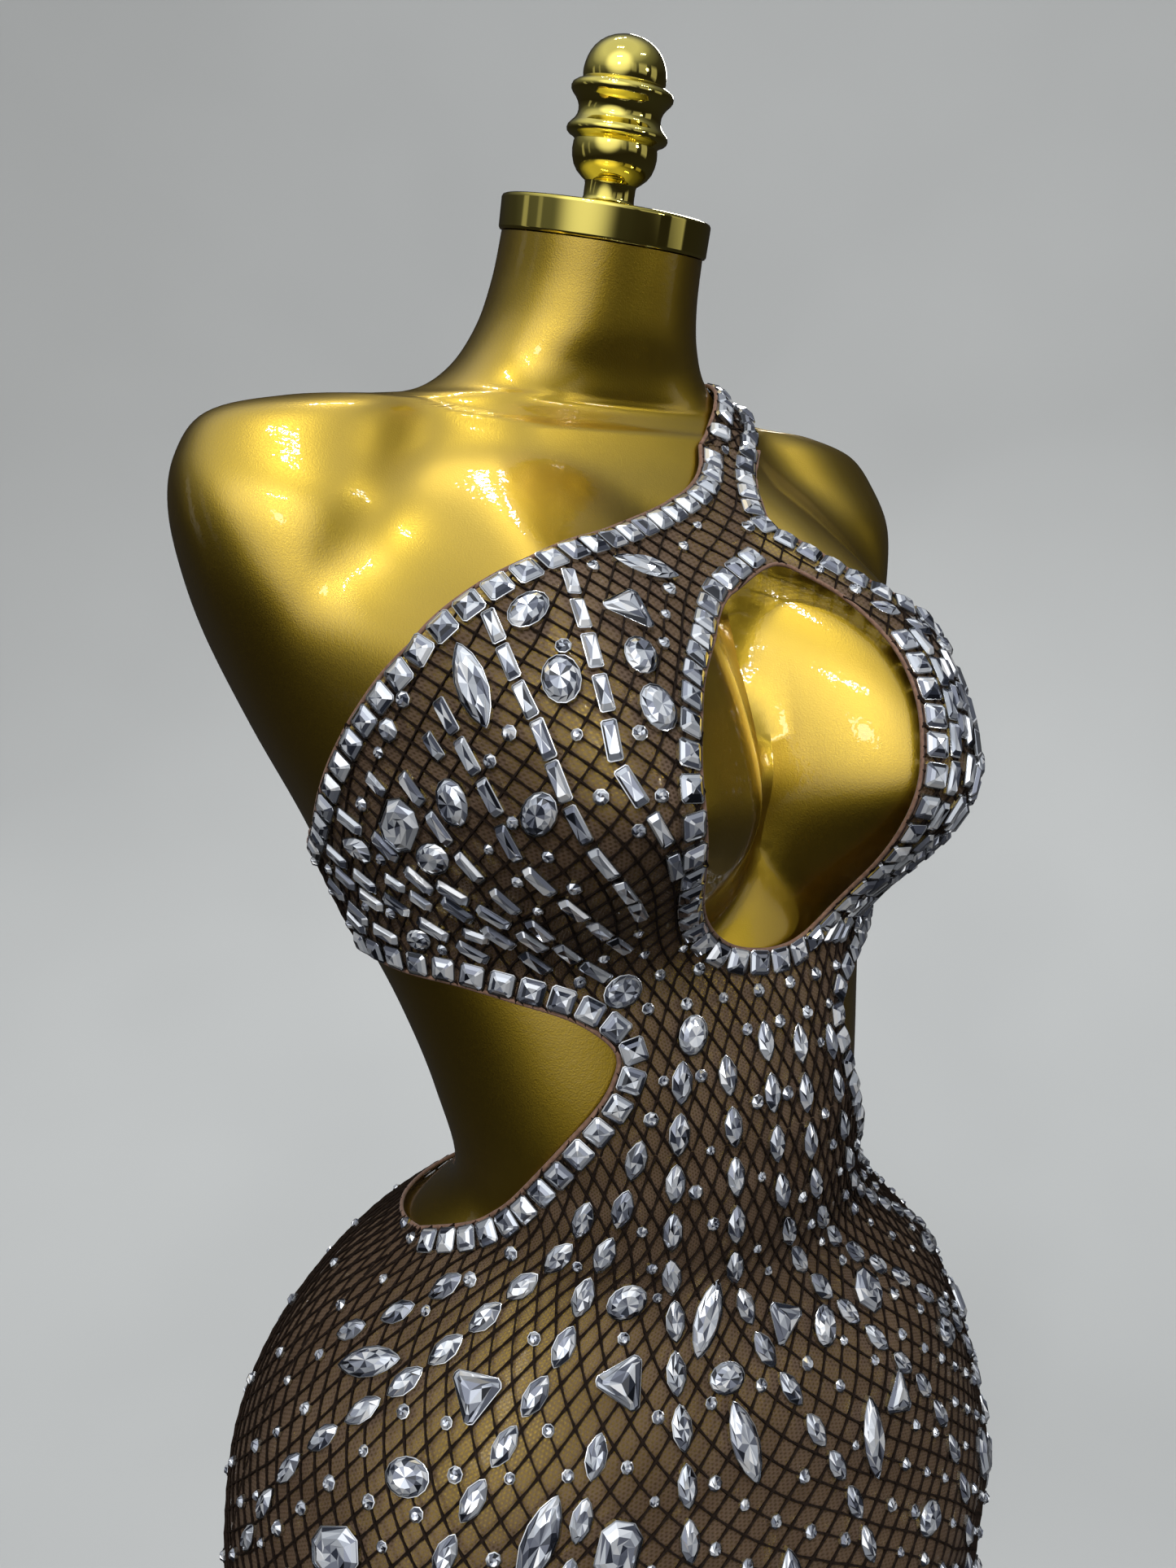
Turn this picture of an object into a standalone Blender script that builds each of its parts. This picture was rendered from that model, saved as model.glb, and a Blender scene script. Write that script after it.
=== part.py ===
# A net mini dress trimmed with crystals, worn on a limbless dress form that stands on a round base.
# The form faces -Y. Metres, +Z up, with the origin at the centre of the base's underside.
import math

import bmesh
import bpy
import numpy as np

# Driving sizes
GAP = 0.0003  # between pieces that meet
FORM_CLEAR = 0.0022  # from the form to the inside of the cloth
CLOTH = 0.0015  # wall of mesh and net
STRAP_CLEAR = 0.0025  # the same under the strap, which crosses the sharper top of the shoulder
BAND_BACK = 0.0010  # setting under the square crystals
SQUARE = 0.0098  # side of a square crystal
SQUARE_PITCH = 0.0118
SQUARE_RISE = 0.0028  # square crystal above its setting
SETTING_NECK = 0.66  # width of the setting between two crystals, as a share of a crystal
SQUARE_FACE = 0.92  # length of a crystal's face as a share of the crystal
EDGE_INSET = 0.0066  # from a cloth edge to the middle of its crystal row
GEM_RISE = 0.0036  # raised crystal above the cloth
HEM_HEIGHT = 0.640
SEAM_TURN = 97.0  # side seams, in degrees round from the front
STRAP_SEAM = 1.334  # where the front meets the strap
STRAP_WIDTH = 0.028
BAND_TOP = 1.160
BAND_LOW = 1.117
NECK_TILT = 15.0
NECK_RADIUS = 0.0465
CAP_RADIUS = 0.0480
CAP_HEIGHT = 0.0150
BASE_RADIUS = 0.212
POLE_RADIUS = 0.0125
FORM_SIDES = 32
FRONT_COLUMNS = 26
FRONT_ROWS = 36
BACK_COLUMNS = 17
STRAP_POINTS = 26
STRAP_ROW_POINTS = 11
FLAT_RADIUS = 0.120  # scale of the flat pattern: metres across for each radian round the figure
SLAB_MARGIN = 0.010  # the uncut flat pattern runs past its outline
SKIRT_TOP = 0.955  # below this height the front's rows of points lie further apart
SKIRT_ROWS = 0.36  # share of the rows that lie there
SEAM_GAP_TURN = 0.15  # degrees, about GAP at the side seams
BASE_HEIGHT = 0.014
PLATE_HEIGHT = 0.014

# Sections of the form from its flat underside up to the neck
# height, half width, depth in front, depth behind, centre to the rear, squareness, tilt
SECTIONS = [
    (0.600, 0.1780, 0.1080, 0.1280, -0.0160, 2.20, 0.0),
    (0.680, 0.1880, 0.1180, 0.1450, -0.0170, 2.20, 0.0),
    (0.760, 0.1970, 0.1280, 0.1620, -0.0180, 2.20, 0.0),
    (0.820, 0.2010, 0.1330, 0.1730, -0.0175, 2.20, 0.0),
    (0.860, 0.1966, 0.1300, 0.1650, -0.0120, 2.20, 0.0),
    (0.890, 0.1890, 0.1270, 0.1510, -0.0085, 2.15, 0.0),
    (0.920, 0.1745, 0.1215, 0.1330, -0.0070, 2.10, 0.0),
    (0.950, 0.1480, 0.1110, 0.1100, -0.0045, 2.05, 0.0),
    (0.980, 0.1180, 0.0930, 0.0860, -0.0150, 2.00, 0.0),
    (1.010, 0.1010, 0.0825, 0.0745, -0.0290, 2.00, 0.0),
    (1.050, 0.1070, 0.0857, 0.0810, -0.0238, 2.00, 0.0),
    (1.090, 0.1180, 0.0895, 0.0895, -0.0116, 2.05, 0.0),
    (1.130, 0.1330, 0.0934, 0.1005, 0.0035, 2.10, 0.0),
    (1.170, 0.1465, 0.0960, 0.1080, 0.0175, 2.15, 0.0),
    (1.210, 0.1630, 0.0990, 0.1140, 0.0320, 2.20, 0.0),
    (1.250, 0.1790, 0.0960, 0.1170, 0.0385, 2.30, 0.0),
    (1.280, 0.1890, 0.0853, 0.1100, 0.0380, 2.30, 0.0),
    (1.305, 0.1935, 0.0736, 0.0960, 0.0380, 2.30, 0.0),
    (1.325, 0.1905, 0.0611, 0.0800, 0.0396, 2.20, 0.0),
    (1.342, 0.1780, 0.0520, 0.0700, 0.0410, 2.10, 0.0),
    (1.350, 0.1500, 0.0470, 0.0640, 0.0410, 2.00, 0.0),
    (1.354, 0.1150, 0.0460, 0.0600, 0.0400, 2.00, 0.0),
    (1.359, 0.0860, 0.0465, 0.0580, 0.0390, 2.00, 1.0),
    (1.371, 0.0660, 0.0470, 0.0550, 0.0360, 2.00, 4.0),
    (1.388, 0.0540, 0.0475, 0.0510, 0.0300, 2.00, 9.0),
    (1.407, 0.0485, 0.0470, 0.0480, 0.0240, 2.00, 13.0),
    (1.4265, NECK_RADIUS, NECK_RADIUS, NECK_RADIUS, 0.0180, 2.00, NECK_TILT),
]
HEIGHTS = [row[0] for row in SECTIONS]
CURVED_ROWS = (*range(6, 17), *range(20, 24))
UNDER_BUST_ROWS = (11, 12)
NECK_TOP = SECTIONS[-1]

# The two smooth mounds of the bust, and how far the cloth is drawn into the valley between them
BUST_APART = 0.083
BUST_HEIGHT = 1.198
BUST_REACH = 0.080
BUST_WIDTH = 0.090
BUST_UP = 0.135
BUST_DOWN = 0.085
VALLEY_DRAW = 0.38
BUST_FADE = 0.35  # how quickly the mounds die away towards the figure's sides

# From the smooth cloth to the underside of each crystal row: enough to clear the flats of the walls below
ROW_CLEAR = {
    "neckline": 0.0008, "armhole": 0.0005, "right_cutout": 0.0016, "left_cutout": 0.0018,
    "keyhole": 0.0016, "strap_inner": 0.0012, "strap_outer": 0.0016,
}

# Edges of the front: degrees round the figure, height
NECKLINE = [
    (-97, 1.160), (-74, 1.196), (-59, 1.223), (-49, 1.242), (-40, 1.259), (-30, 1.275),
    (-21, 1.285), (-12, 1.292), (-3.5, 1.302), (3, 1.315), (6.3, 1.325), (8.2, STRAP_SEAM),
]
ARMHOLE = [
    (20.5, STRAP_SEAM), (16.6, 1.325), (13.6, 1.316), (10.8, 1.304), (10.4, 1.296), (13.0, 1.2890),
    (18, 1.2765), (22.5, 1.267), (30, 1.256), (39, 1.244), (51, 1.225), (66, 1.200),
    (80, 1.179), (97, 1.160),
]
NEAR_CUTOUT = [
    (-97, 1.117), (-75, 1.115), (-61, 1.113), (-47, 1.106), (-39, 1.100), (-34, 1.092),
    (-32.5, 1.085), (-34.5, 1.077), (-39.5, 1.066), (-50, 1.049), (-64, 1.028), (-80, 1.004),
    (-97, 0.986),
]
FAR_CUTOUT = [
    (97, 1.117), (75, 1.115), (61, 1.113), (47, 1.106), (37, 1.100), (30, 1.092),
    (27.5, 1.084), (29, 1.074), (33.5, 1.058), (41, 1.040), (54, 1.020), (72, 1.000),
    (97, 0.986),
]
KEYHOLE = [
    (7.0, 1.279), (0.5, 1.268), (-7, 1.247), (-14.5, 1.228), (-20, 1.206), (-21, 1.184),
    (-16.5, 1.157), (-7.5, 1.131), (1, 1.121), (10, 1.121), (16, 1.131), (18, 1.152),
    (17.5, 1.178), (18, 1.203), (18.2, 1.224), (16.8, 1.246), (14, 1.262), (11, 1.272),
]
BACK_TOP = [(97, 0.986), (120, 0.977), (150, 0.968), (180, 0.966), (210, 0.968), (240, 0.977), (263, 0.986)]
STRAP_LINE = [
    (14.5, STRAP_SEAM + GAP), (24, 1.348), (50, 1.3585), (90, 1.3625), (125, 1.356),
    (146, 1.336), (154, 1.300), (158, 1.250), (160, 1.200), (161, BAND_TOP + GAP),
]

# Raised crystals in chains: kind, length, width, count, first turn and height, last turn and height,
# fan (1 is even, over 1 keeps to the first turn for longer), heading in degrees from the chain's line
GEM_CHAINS = [
    ("navette", 0.0170, 0.0085, 11, (-20, 1.088), (-72, 0.720), 1.5, 0),
    ("navette", 0.0170, 0.0085, 11, (-13, 1.075), (-44, 0.690), 1.6, 0),
    ("navette", 0.0170, 0.0085, 12, (-5, 1.090), (-7, 0.668), 1.0, 0),
    ("navette", 0.0170, 0.0085, 11, (4, 1.080), (20, 0.690), 1.6, 0),
    ("navette", 0.0170, 0.0085, 11, (12, 1.088), (48, 0.700), 1.6, 0),
    ("navette", 0.0170, 0.0085, 6, (42, 0.975), (78, 0.770), 1.0, 0),
    ("navette", 0.0170, 0.0085, 5, (-64, 0.965), (-88, 0.800), 1.0, 0),
    ("navette", 0.0300, 0.0120, 1, (-9, 1.272), (-9, 1.272), 1.0, 105),
    ("triangle", 0.0200, 0.0200, 1, (-18, 1.262), (-18, 1.262), 1.0, 0),
    ("oval", 0.0190, 0.0140, 3, (-20.5, 1.240), (-35, 1.200), 1.0, 30),
    ("oval", 0.0180, 0.0130, 2, (-30, 1.256), (-34, 1.234), 1.0, 70),
    ("navette", 0.0330, 0.0130, 1, (-43, 1.230), (-43, 1.230), 1.0, 15),
    ("octagon", 0.0220, 0.0170, 1, (-63, 1.192), (-63, 1.192), 1.0, 15),
    ("oval", 0.0180, 0.0130, 3, (-51, 1.204), (-47, 1.150), 1.0, 15),
    ("oval", 0.0180, 0.0120, 2, (-63, 1.158), (-77, 1.150), 1.0, 60),
    ("oval", 0.0180, 0.0130, 3, (40, 1.222), (60, 1.180), 1.0, 20),
    ("navette", 0.0300, 0.0120, 1, (32, 1.230), (32, 1.230), 1.0, 20),
    ("oval", 0.0180, 0.0130, 2, (44, 1.170), (66, 1.155), 1.0, 90),
    ("navette", 0.0360, 0.0140, 3, (-28, 0.915), (-26, 0.690), 1.0, 0),
    ("navette", 0.0360, 0.0140, 3, (4.5, 0.945), (6, 0.720), 1.0, 0),
    ("triangle", 0.0220, 0.0200, 3, (-40, 0.915), (-64, 0.735), 1.0, 0),
    ("oval", 0.0200, 0.0160, 3, (-60, 0.930), (-54, 0.680), 1.0, 90),
    ("octagon", 0.0230, 0.0180, 3, (25, 0.925), (34, 0.690), 1.0, 0),
    ("oval", 0.0200, 0.0150, 3, (53, 0.900), (64, 0.700), 1.0, 0),
    ("triangle", 0.0210, 0.0200, 2, (13, 0.850), (12.5, 0.680), 1.0, 180),
]

# Outlines of the crystals, as shares of the half length and half width
GEM_OUTLINES = {
    "navette": [(1, 0), (0.42, 0.86), (-0.42, 0.86), (-1, 0), (-0.42, -0.86), (0.42, -0.86)],
    "oval": [(math.cos(k * math.pi / 3.5), math.sin(k * math.pi / 3.5)) for k in range(7)],
    "triangle": [(1, 0), (-0.7, 0.95), (-0.7, -0.95)],
    "octagon": [(1, 0.5), (0.6, 1), (-0.6, 1), (-1, 0.5), (-1, -0.5), (-0.6, -1), (0.6, -1), (1, -0.5)],
}
GEM_TABLE = 0.55  # flat top of a crystal as a share of its outline


# Scene, collections and materials

def clear_scene():
    for old in list(bpy.data.objects):
        bpy.data.objects.remove(old, do_unlink=True)


def new_collection(name):
    made = bpy.data.collections.new(name)
    bpy.context.scene.collection.children.link(made)
    return made


def material(name, colour, roughness, metallic):
    made = bpy.data.materials.new(name)
    made.use_nodes = True
    shader = made.node_tree.nodes["Principled BSDF"]
    shader.inputs["Base Color"].default_value = (*colour, 1)
    shader.inputs["Roughness"].default_value = roughness
    shader.inputs["Metallic"].default_value = metallic
    made.diffuse_color = (*colour, 1)
    return made


# The figure's surface

def catmull(rows, at):
    # smooth values at fractional row numbers
    rows = np.asarray(rows, float)
    at = np.clip(np.asarray(at, float), 0, len(rows) - 1)
    low = np.minimum(at.astype(int), len(rows) - 2)
    share = (at - low)[..., None]

    def row(k):
        return rows[np.clip(k, 0, len(rows) - 1)]

    before, first, second, after = row(low - 1), row(low), row(low + 1), row(low + 2)
    return 0.5 * (
        2 * first
        + (second - before) * share
        + (2 * before - 5 * first + 4 * second - after) * share**2
        + (3 * first - before - 3 * second + after) * share**3
    )


def mound(x, z):
    # how far the bust stands forward at this place
    upright = np.where(z > BUST_HEIGHT, (z - BUST_HEIGHT) / BUST_UP, (z - BUST_HEIGHT) / BUST_DOWN)
    total = 0
    for side in (-1, 1):
        across = (x - side * BUST_APART) / BUST_WIDTH
        total = total + BUST_REACH * (1 - np.clip(across**2 + upright**2, 0, 1)) ** 2
    return total


def bridged_mound(x, z):
    # the cloth spans the valley between the mounds
    inward = np.clip(1 - (np.abs(x) / BUST_APART) ** 2, 0, 1)
    span = (1 - VALLEY_DRAW * inward**2) * mound(np.full_like(x, BUST_APART), z)
    return np.where(np.abs(x) < BUST_APART, np.maximum(mound(x, z), span), mound(x, z))


def surface(turn, height, worn):
    turn = np.asarray(turn, float)
    rows = catmull(SECTIONS, np.interp(height, HEIGHTS, range(len(HEIGHTS))))
    z, half, front, back, centre, square, tilt = np.moveaxis(rows, -1, 0)
    sine, cosine = np.sin(turn), np.cos(turn)
    x = half * np.sign(sine) * np.abs(sine) ** (2 / square)
    depth = np.where(cosine > 0, front, back)
    y = -depth * np.sign(cosine) * np.abs(cosine) ** (2 / square)
    push = bridged_mound(x, z) if worn else mound(x, z)
    y = y - push * np.clip(cosine, 0, 1) ** BUST_FADE
    lean = np.radians(tilt)
    return np.stack([x, centre + y * np.cos(lean), z + y * np.sin(lean)], -1)


def frame_at(turn, height, worn=True):
    # the surface point, its rates of change with turn and height, and its outward normal
    small = 1e-3
    round_rate = (surface(turn + small, height, worn) - surface(turn - small, height, worn)) / (2 * small)
    up_rate = (surface(turn, height + small, worn) - surface(turn, height - small, worn)) / (2 * small)
    normal = np.cross(round_rate, up_rate)
    normal /= np.linalg.norm(normal, axis=-1, keepdims=True)
    return surface(turn, height, worn), round_rate, up_rate, normal


def lifted(turn, height, lift):
    point, _, _, normal = frame_at(turn, height)
    return point + normal * np.asarray(lift)[..., None]


def smooth_path(rows, closed=False, per_span=12):
    # turns in radians and heights along a smooth line through the rows
    rows = [(math.radians(turn), height) for turn, height in rows]
    if closed:
        rows = rows[-1:] + rows + rows[:2]
        at = np.arange(1, len(rows) - 2, 1 / per_span)
    else:
        at = np.linspace(0, len(rows) - 1, (len(rows) - 1) * per_span + 1)
    return catmull(rows, at)


def real_lengths(path):
    steps = np.diff(surface(path[:, 0], path[:, 1], True), axis=0)
    return np.concatenate([[0], np.cumsum(np.linalg.norm(steps, axis=1))])


def along(path, distances):
    run = real_lengths(path)
    return np.stack([np.interp(distances, run, path[:, k]) for k in (0, 1)], -1)


def sideways(path, distance):
    # the path moved over the cloth by a real distance, to its left as seen from outside
    _, round_rate, up_rate, normal = frame_at(path[:, 0], path[:, 1])
    rate = np.gradient(path, axis=0)
    forward = round_rate * rate[:, :1] + up_rate * rate[:, 1:]
    forward /= np.linalg.norm(forward, axis=1, keepdims=True)
    left = np.cross(normal, forward) * distance
    rr = (round_rate * round_rate).sum(1)
    ru = (round_rate * up_rate).sum(1)
    uu = (up_rate * up_rate).sum(1)
    lr = (left * round_rate).sum(1)
    lu = (left * up_rate).sum(1)
    spread = rr * uu - ru**2
    return path + np.stack([(lr * uu - lu * ru) / spread, (lu * rr - lr * ru) / spread], -1)


# Building meshes

def add_object(name, mesh, look, collection):
    made = bpy.data.objects.new(name, mesh)
    mesh.materials.clear()
    mesh.materials.append(look)
    collection.objects.link(made)
    return made


def add_cutter(name, mesh, collection):
    made = bpy.data.objects.new(name, mesh)
    collection.objects.link(made)
    made.display_type = "WIRE"
    made.hide_render = True
    return made


def finish_mesh(name, bm, smooth=True):
    bmesh.ops.recalc_face_normals(bm, faces=bm.faces)
    mesh = bpy.data.meshes.new(name)
    bm.to_mesh(mesh)
    bm.free()
    if smooth:
        mesh.shade_smooth()
        mesh.set_sharp_from_angle(angle=math.radians(35))
    return mesh


def skin_rings(bm, rings):
    # quads between rings of equal length: gives back the rings' corners
    loops = [[bm.verts.new(point) for point in ring] for ring in rings]
    for low, high in zip(loops, loops[1:]):
        for k in range(len(low)):
            after = (k + 1) % len(low)
            bm.faces.new((low[k], low[after], high[after], high[k]))
    return loops


def loft(name, rings):
    bm = bmesh.new()
    loops = skin_rings(bm, rings)
    bm.faces.new(loops[0])
    bm.faces.new(loops[-1])
    return finish_mesh(name, bm)


def wall(name, turns, heights, clear=FORM_CLEAR):
    # a cloth wall over a grid of places: rows run along the piece, columns across it
    inner = lifted(turns, heights, np.full(turns.shape, clear))
    outer = lifted(turns, heights, np.full(turns.shape, clear + CLOTH))
    bm = bmesh.new()
    loops = skin_rings(bm, [np.concatenate([low, high[::-1]]) for low, high in zip(inner, outer)])
    across = turns.shape[1]
    for end in (loops[0], loops[-1]):
        for k in range(across - 1):
            bm.faces.new((end[k], end[k + 1], end[2 * across - 2 - k], end[2 * across - 1 - k]))
    return finish_mesh(name, bm)


def turned(name, profile, steps, look, collection):
    # a solid turned round its own Z axis: the profile runs down its outer side
    bm = bmesh.new()
    corners = [bm.verts.new((radius, 0, z)) for radius, z in profile]
    for first, second in zip(corners, corners[1:]):
        bm.edges.new((first, second))
    mesh = bpy.data.meshes.new(name)
    bm.to_mesh(mesh)
    bm.free()
    made = add_object(name, mesh, look, collection)
    screw = made.modifiers.new("Turned", "SCREW")
    screw.steps = steps
    screw.render_steps = steps
    screw.use_merge_vertices = True
    screw.merge_threshold = 0.0001
    screw.use_smooth_shade = True
    return made


# The hard pieces

def torso_form(look, collection):
    # rows follow the table, with more between them where the shape turns quickly
    levels = []
    for row in range(len(SECTIONS) - 1):
        parts_here = 3 if row in UNDER_BUST_ROWS else 2 if row in CURVED_ROWS else 1
        levels.extend(row + np.arange(parts_here) / parts_here)
    levels.append(len(SECTIONS) - 1)
    turns = np.linspace(-math.pi, math.pi, FORM_SIDES, endpoint=False)
    heights = np.interp(levels, range(len(HEIGHTS)), HEIGHTS)
    rings = [surface(turns, np.full_like(turns, height), False) for height in heights]
    return add_object("form_torso", loft("form_torso", rings), look, collection)


def neck_hardware(look, collection):
    _, _, _, _, centre, _, tilt = NECK_TOP
    lean = math.radians(tilt)
    axis = np.array([0, -math.sin(lean), math.cos(lean)])
    seat = np.array([0, centre, NECK_TOP[0]]) + axis * GAP
    edge = 0.0012
    cap_profile = [
        (0, CAP_HEIGHT), (CAP_RADIUS - edge, CAP_HEIGHT), (CAP_RADIUS, CAP_HEIGHT - edge),
        (CAP_RADIUS, edge), (CAP_RADIUS - edge, 0), (0, 0),
    ]
    finial_profile = [
        (0, 0.0750), (0.0075, 0.0738), (0.0150, 0.0694), (0.0189, 0.0625), (0.0172, 0.0548),
        (0.0164, 0.0532), (0.0220, 0.0500), (0.0220, 0.0468), (0.0182, 0.0430), (0.0182, 0.0405),
        (0.0217, 0.0372), (0.0217, 0.0340), (0.0180, 0.0312), (0.0196, 0.0250), (0.0176, 0.0165),
        (0.0113, 0.0105), (0.0113, 0.0050), (0.0130, 0.0036), (0.0130, 0), (0, 0),
    ]
    cap = turned("neck_cap", cap_profile, 28, look, collection)
    finial = turned("finial", finial_profile, 16, look, collection)
    cap.location = seat
    finial.location = seat + axis * (CAP_HEIGHT + GAP)
    for piece in (cap, finial):
        piece.rotation_euler = (lean, 0, 0)


def stand(look, collection):
    plate_low = HEIGHTS[0] - PLATE_HEIGHT
    base_profile = [
        (0, BASE_HEIGHT), (0.060, BASE_HEIGHT), (BASE_RADIUS - 0.030, 0.009), (BASE_RADIUS - 0.003, 0.006),
        (BASE_RADIUS, 0.004), (BASE_RADIUS, 0), (0, 0),
    ]
    socket_profile = [
        (POLE_RADIUS + GAP, 0.060), (0.018, 0.060), (0.021, 0.056), (0.021, 0.016),
        (0.038, 0.006), (0.040, 0.003), (0.040, 0), (POLE_RADIUS + GAP, 0), (POLE_RADIUS + GAP, 0.060),
    ]
    plate_profile = [
        (0, PLATE_HEIGHT - GAP), (0.052, PLATE_HEIGHT - GAP), (0.055, 0.011), (0.055, 0.008),
        (0.030, 0.004), (0.026, 0), (0, 0),
    ]
    turned("base_disc", base_profile, 40, look, collection)
    socket = turned("pole_socket", socket_profile, 20, look, collection)
    socket.location = (0, 0, BASE_HEIGHT + GAP)
    plate = turned("under_plate", plate_profile, 20, look, collection)
    plate.location = (0, 0, plate_low)
    pole_low = BASE_HEIGHT + GAP
    length = plate_low - GAP - pole_low
    pole_profile = [(0, length), (POLE_RADIUS, length), (POLE_RADIUS, 0), (0, 0)]
    pole = turned("pole", pole_profile, 20, look, collection)
    pole.location = (0, 0, pole_low)


# The dress

def flat_prism(name, path, collection):
    # a cutter through the flat pattern
    reach = 5 * CLOTH
    bm = bmesh.new()
    corners = [bm.verts.new((turn * FLAT_RADIUS, height, -reach)) for turn, height in path]
    face = bm.faces.new(corners)
    grown = bmesh.ops.extrude_face_region(bm, geom=[face])
    raised = [item for item in grown["geom"] if isinstance(item, bmesh.types.BMVert)]
    bmesh.ops.translate(bm, verts=raised, vec=(0, 0, 2 * reach))
    return add_cutter(name, finish_mesh(name, bm, smooth=False), collection)


def chain_places(chain):
    # turn, height and heading of each crystal in a chain
    kind, length, width, count, first, last, fan, heading = chain
    share = np.linspace(0, 1, count) if count > 1 else np.zeros(1)
    turn = np.radians(first[0] + (last[0] - first[0]) * share**fan)
    height = first[1] + (last[1] - first[1]) * share
    path = np.stack([turn, height], -1)
    _, round_rate, up_rate, _ = frame_at(path[:, 0], path[:, 1])
    scale_round = np.linalg.norm(round_rate, axis=1)
    scale_up = np.linalg.norm(up_rate, axis=1)
    if count > 1:
        rate = np.gradient(path, axis=0)
        angle = np.arctan2(rate[:, 1] * scale_up, rate[:, 0] * scale_round)
    else:
        angle = np.full(1, -math.pi / 2)
    return path, angle + math.radians(heading), scale_round, scale_up


def raised_gems(name, chains, collection):
    # crystals as low frustums that rise out of the flat pattern
    bm = bmesh.new()
    for chain in chains:
        path, angle, scale_round, scale_up = chain_places(chain)
        outline = GEM_OUTLINES[chain[0]]
        for k in range(len(path)):
            rings = []
            for share, lift in ((1, CLOTH / 2), (GEM_TABLE, CLOTH + GEM_RISE)):
                ring = []
                for long_share, wide_share in outline:
                    forward = long_share * share * chain[1] / 2
                    side = wide_share * share * chain[2] / 2
                    across = forward * math.cos(angle[k]) - side * math.sin(angle[k])
                    upward = forward * math.sin(angle[k]) + side * math.cos(angle[k])
                    x = (path[k, 0] + across / scale_round[k]) * FLAT_RADIUS
                    y = path[k, 1] + upward / scale_up[k]
                    ring.append((x, y, lift))
                rings.append(ring)
            for loop in skin_rings(bm, rings):
                bm.faces.new(loop)
    return add_cutter(name, finish_mesh(name, bm, smooth=False), collection)


def boolean(target, other, operation):
    step = target.modifiers.new(other.name, "BOOLEAN")
    step.operation = operation
    step.solver = "EXACT"
    step.use_self = operation == "UNION"
    step.object = other


def front_outline():
    near_top = smooth_path(NECKLINE, per_span=3)
    armhole = smooth_path(ARMHOLE, per_span=2)
    far_side = smooth_path(FAR_CUTOUT, per_span=2)
    near_side = smooth_path(NEAR_CUTOUT, per_span=2)[::-1]
    hem = [(math.radians(turn), HEM_HEIGHT) for turn in (SEAM_TURN, -SEAM_TURN)]
    return np.concatenate([near_top, armhole, far_side, hem, near_side])


def front_rows():
    # heights of the front's rows of points, closer together over the bust than over the skirt
    shares = np.linspace(0, 1, FRONT_ROWS + 1)
    ends = (HEM_HEIGHT - SLAB_MARGIN, SKIRT_TOP, STRAP_SEAM + SLAB_MARGIN)
    return np.interp(shares, (0, SKIRT_ROWS, 1), ends)


def seam_rows(low, high):
    # the front's rows between two heights, so that both sides of a seam share their points
    inside = [height for height in front_rows() if low + 0.002 < height < high - 0.002]
    return np.array([low, *inside, high])


def dress_front(look, parts, cutters):
    half = math.radians(SEAM_TURN) * FLAT_RADIUS + SLAB_MARGIN / 2
    levels = front_rows()
    bm = bmesh.new()
    bmesh.ops.create_grid(bm, x_segments=FRONT_COLUMNS, y_segments=FRONT_ROWS, size=0.5)
    for corner in bm.verts:
        level = round((corner.co.y + 0.5) * FRONT_ROWS)
        corner.co = (corner.co.x * 2 * half, levels[level], 0)
    grown = bmesh.ops.extrude_face_region(bm, geom=bm.faces[:])
    raised = [item for item in grown["geom"] if isinstance(item, bmesh.types.BMVert)]
    bmesh.ops.translate(bm, verts=raised, vec=(0, 0, CLOTH))
    slab = bpy.data.objects.new("front_slab", finish_mesh("front_slab", bm, smooth=False))
    cutters.objects.link(slab)
    slab.hide_render = True
    boolean(slab, flat_prism("front_outline", front_outline(), cutters), "INTERSECT")
    boolean(slab, flat_prism("keyhole", smooth_path(KEYHOLE, True, 2), cutters), "DIFFERENCE")
    boolean(slab, raised_gems("front_gems", GEM_CHAINS, cutters), "UNION")
    bpy.context.view_layer.update()
    graph = bpy.context.evaluated_depsgraph_get()
    mesh = bpy.data.meshes.new_from_object(slab.evaluated_get(graph))
    bm = bmesh.new()
    bm.from_mesh(mesh)
    bmesh.ops.dissolve_degenerate(bm, dist=0.00002, edges=bm.edges)
    bmesh.ops.triangulate(bm, faces=bm.faces)
    places = np.array([corner.co for corner in bm.verts])
    worn = lifted(places[:, 0] / FLAT_RADIUS, places[:, 1], FORM_CLEAR + places[:, 2])
    for corner, place in zip(bm.verts, worn):
        corner.co = place
    bm.to_mesh(mesh)
    bm.free()
    mesh.name = "dress_front"
    mesh.shade_flat()
    return add_object("dress_front", mesh, look, parts)


def back_pieces(look, collection):
    first_turn = SEAM_TURN + SEAM_GAP_TURN
    turns = np.radians(np.linspace(first_turn, 360 - first_turn, BACK_COLUMNS))
    top_path = smooth_path(BACK_TOP)
    tops = np.interp(turns, top_path[:, 0], top_path[:, 1])
    seam_top = BACK_TOP[0][1]
    shares = (seam_rows(HEM_HEIGHT, seam_top)[:, None] - HEM_HEIGHT) / (seam_top - HEM_HEIGHT)
    heights = HEM_HEIGHT + (tops - HEM_HEIGHT) * shares
    grid = np.broadcast_to(turns, heights.shape)
    add_object("dress_back_skirt", wall("dress_back_skirt", grid, heights), look, collection)
    heights = seam_rows(BAND_LOW, BAND_TOP)[:, None] + np.zeros_like(turns)
    grid = np.broadcast_to(turns, heights.shape)
    add_object("back_band", wall("back_band", grid, heights), look, collection)


def strap_path():
    path = smooth_path(STRAP_LINE, per_span=10)
    length = real_lengths(path)[-1]
    return along(path, np.linspace(0, length, STRAP_POINTS))


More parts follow.
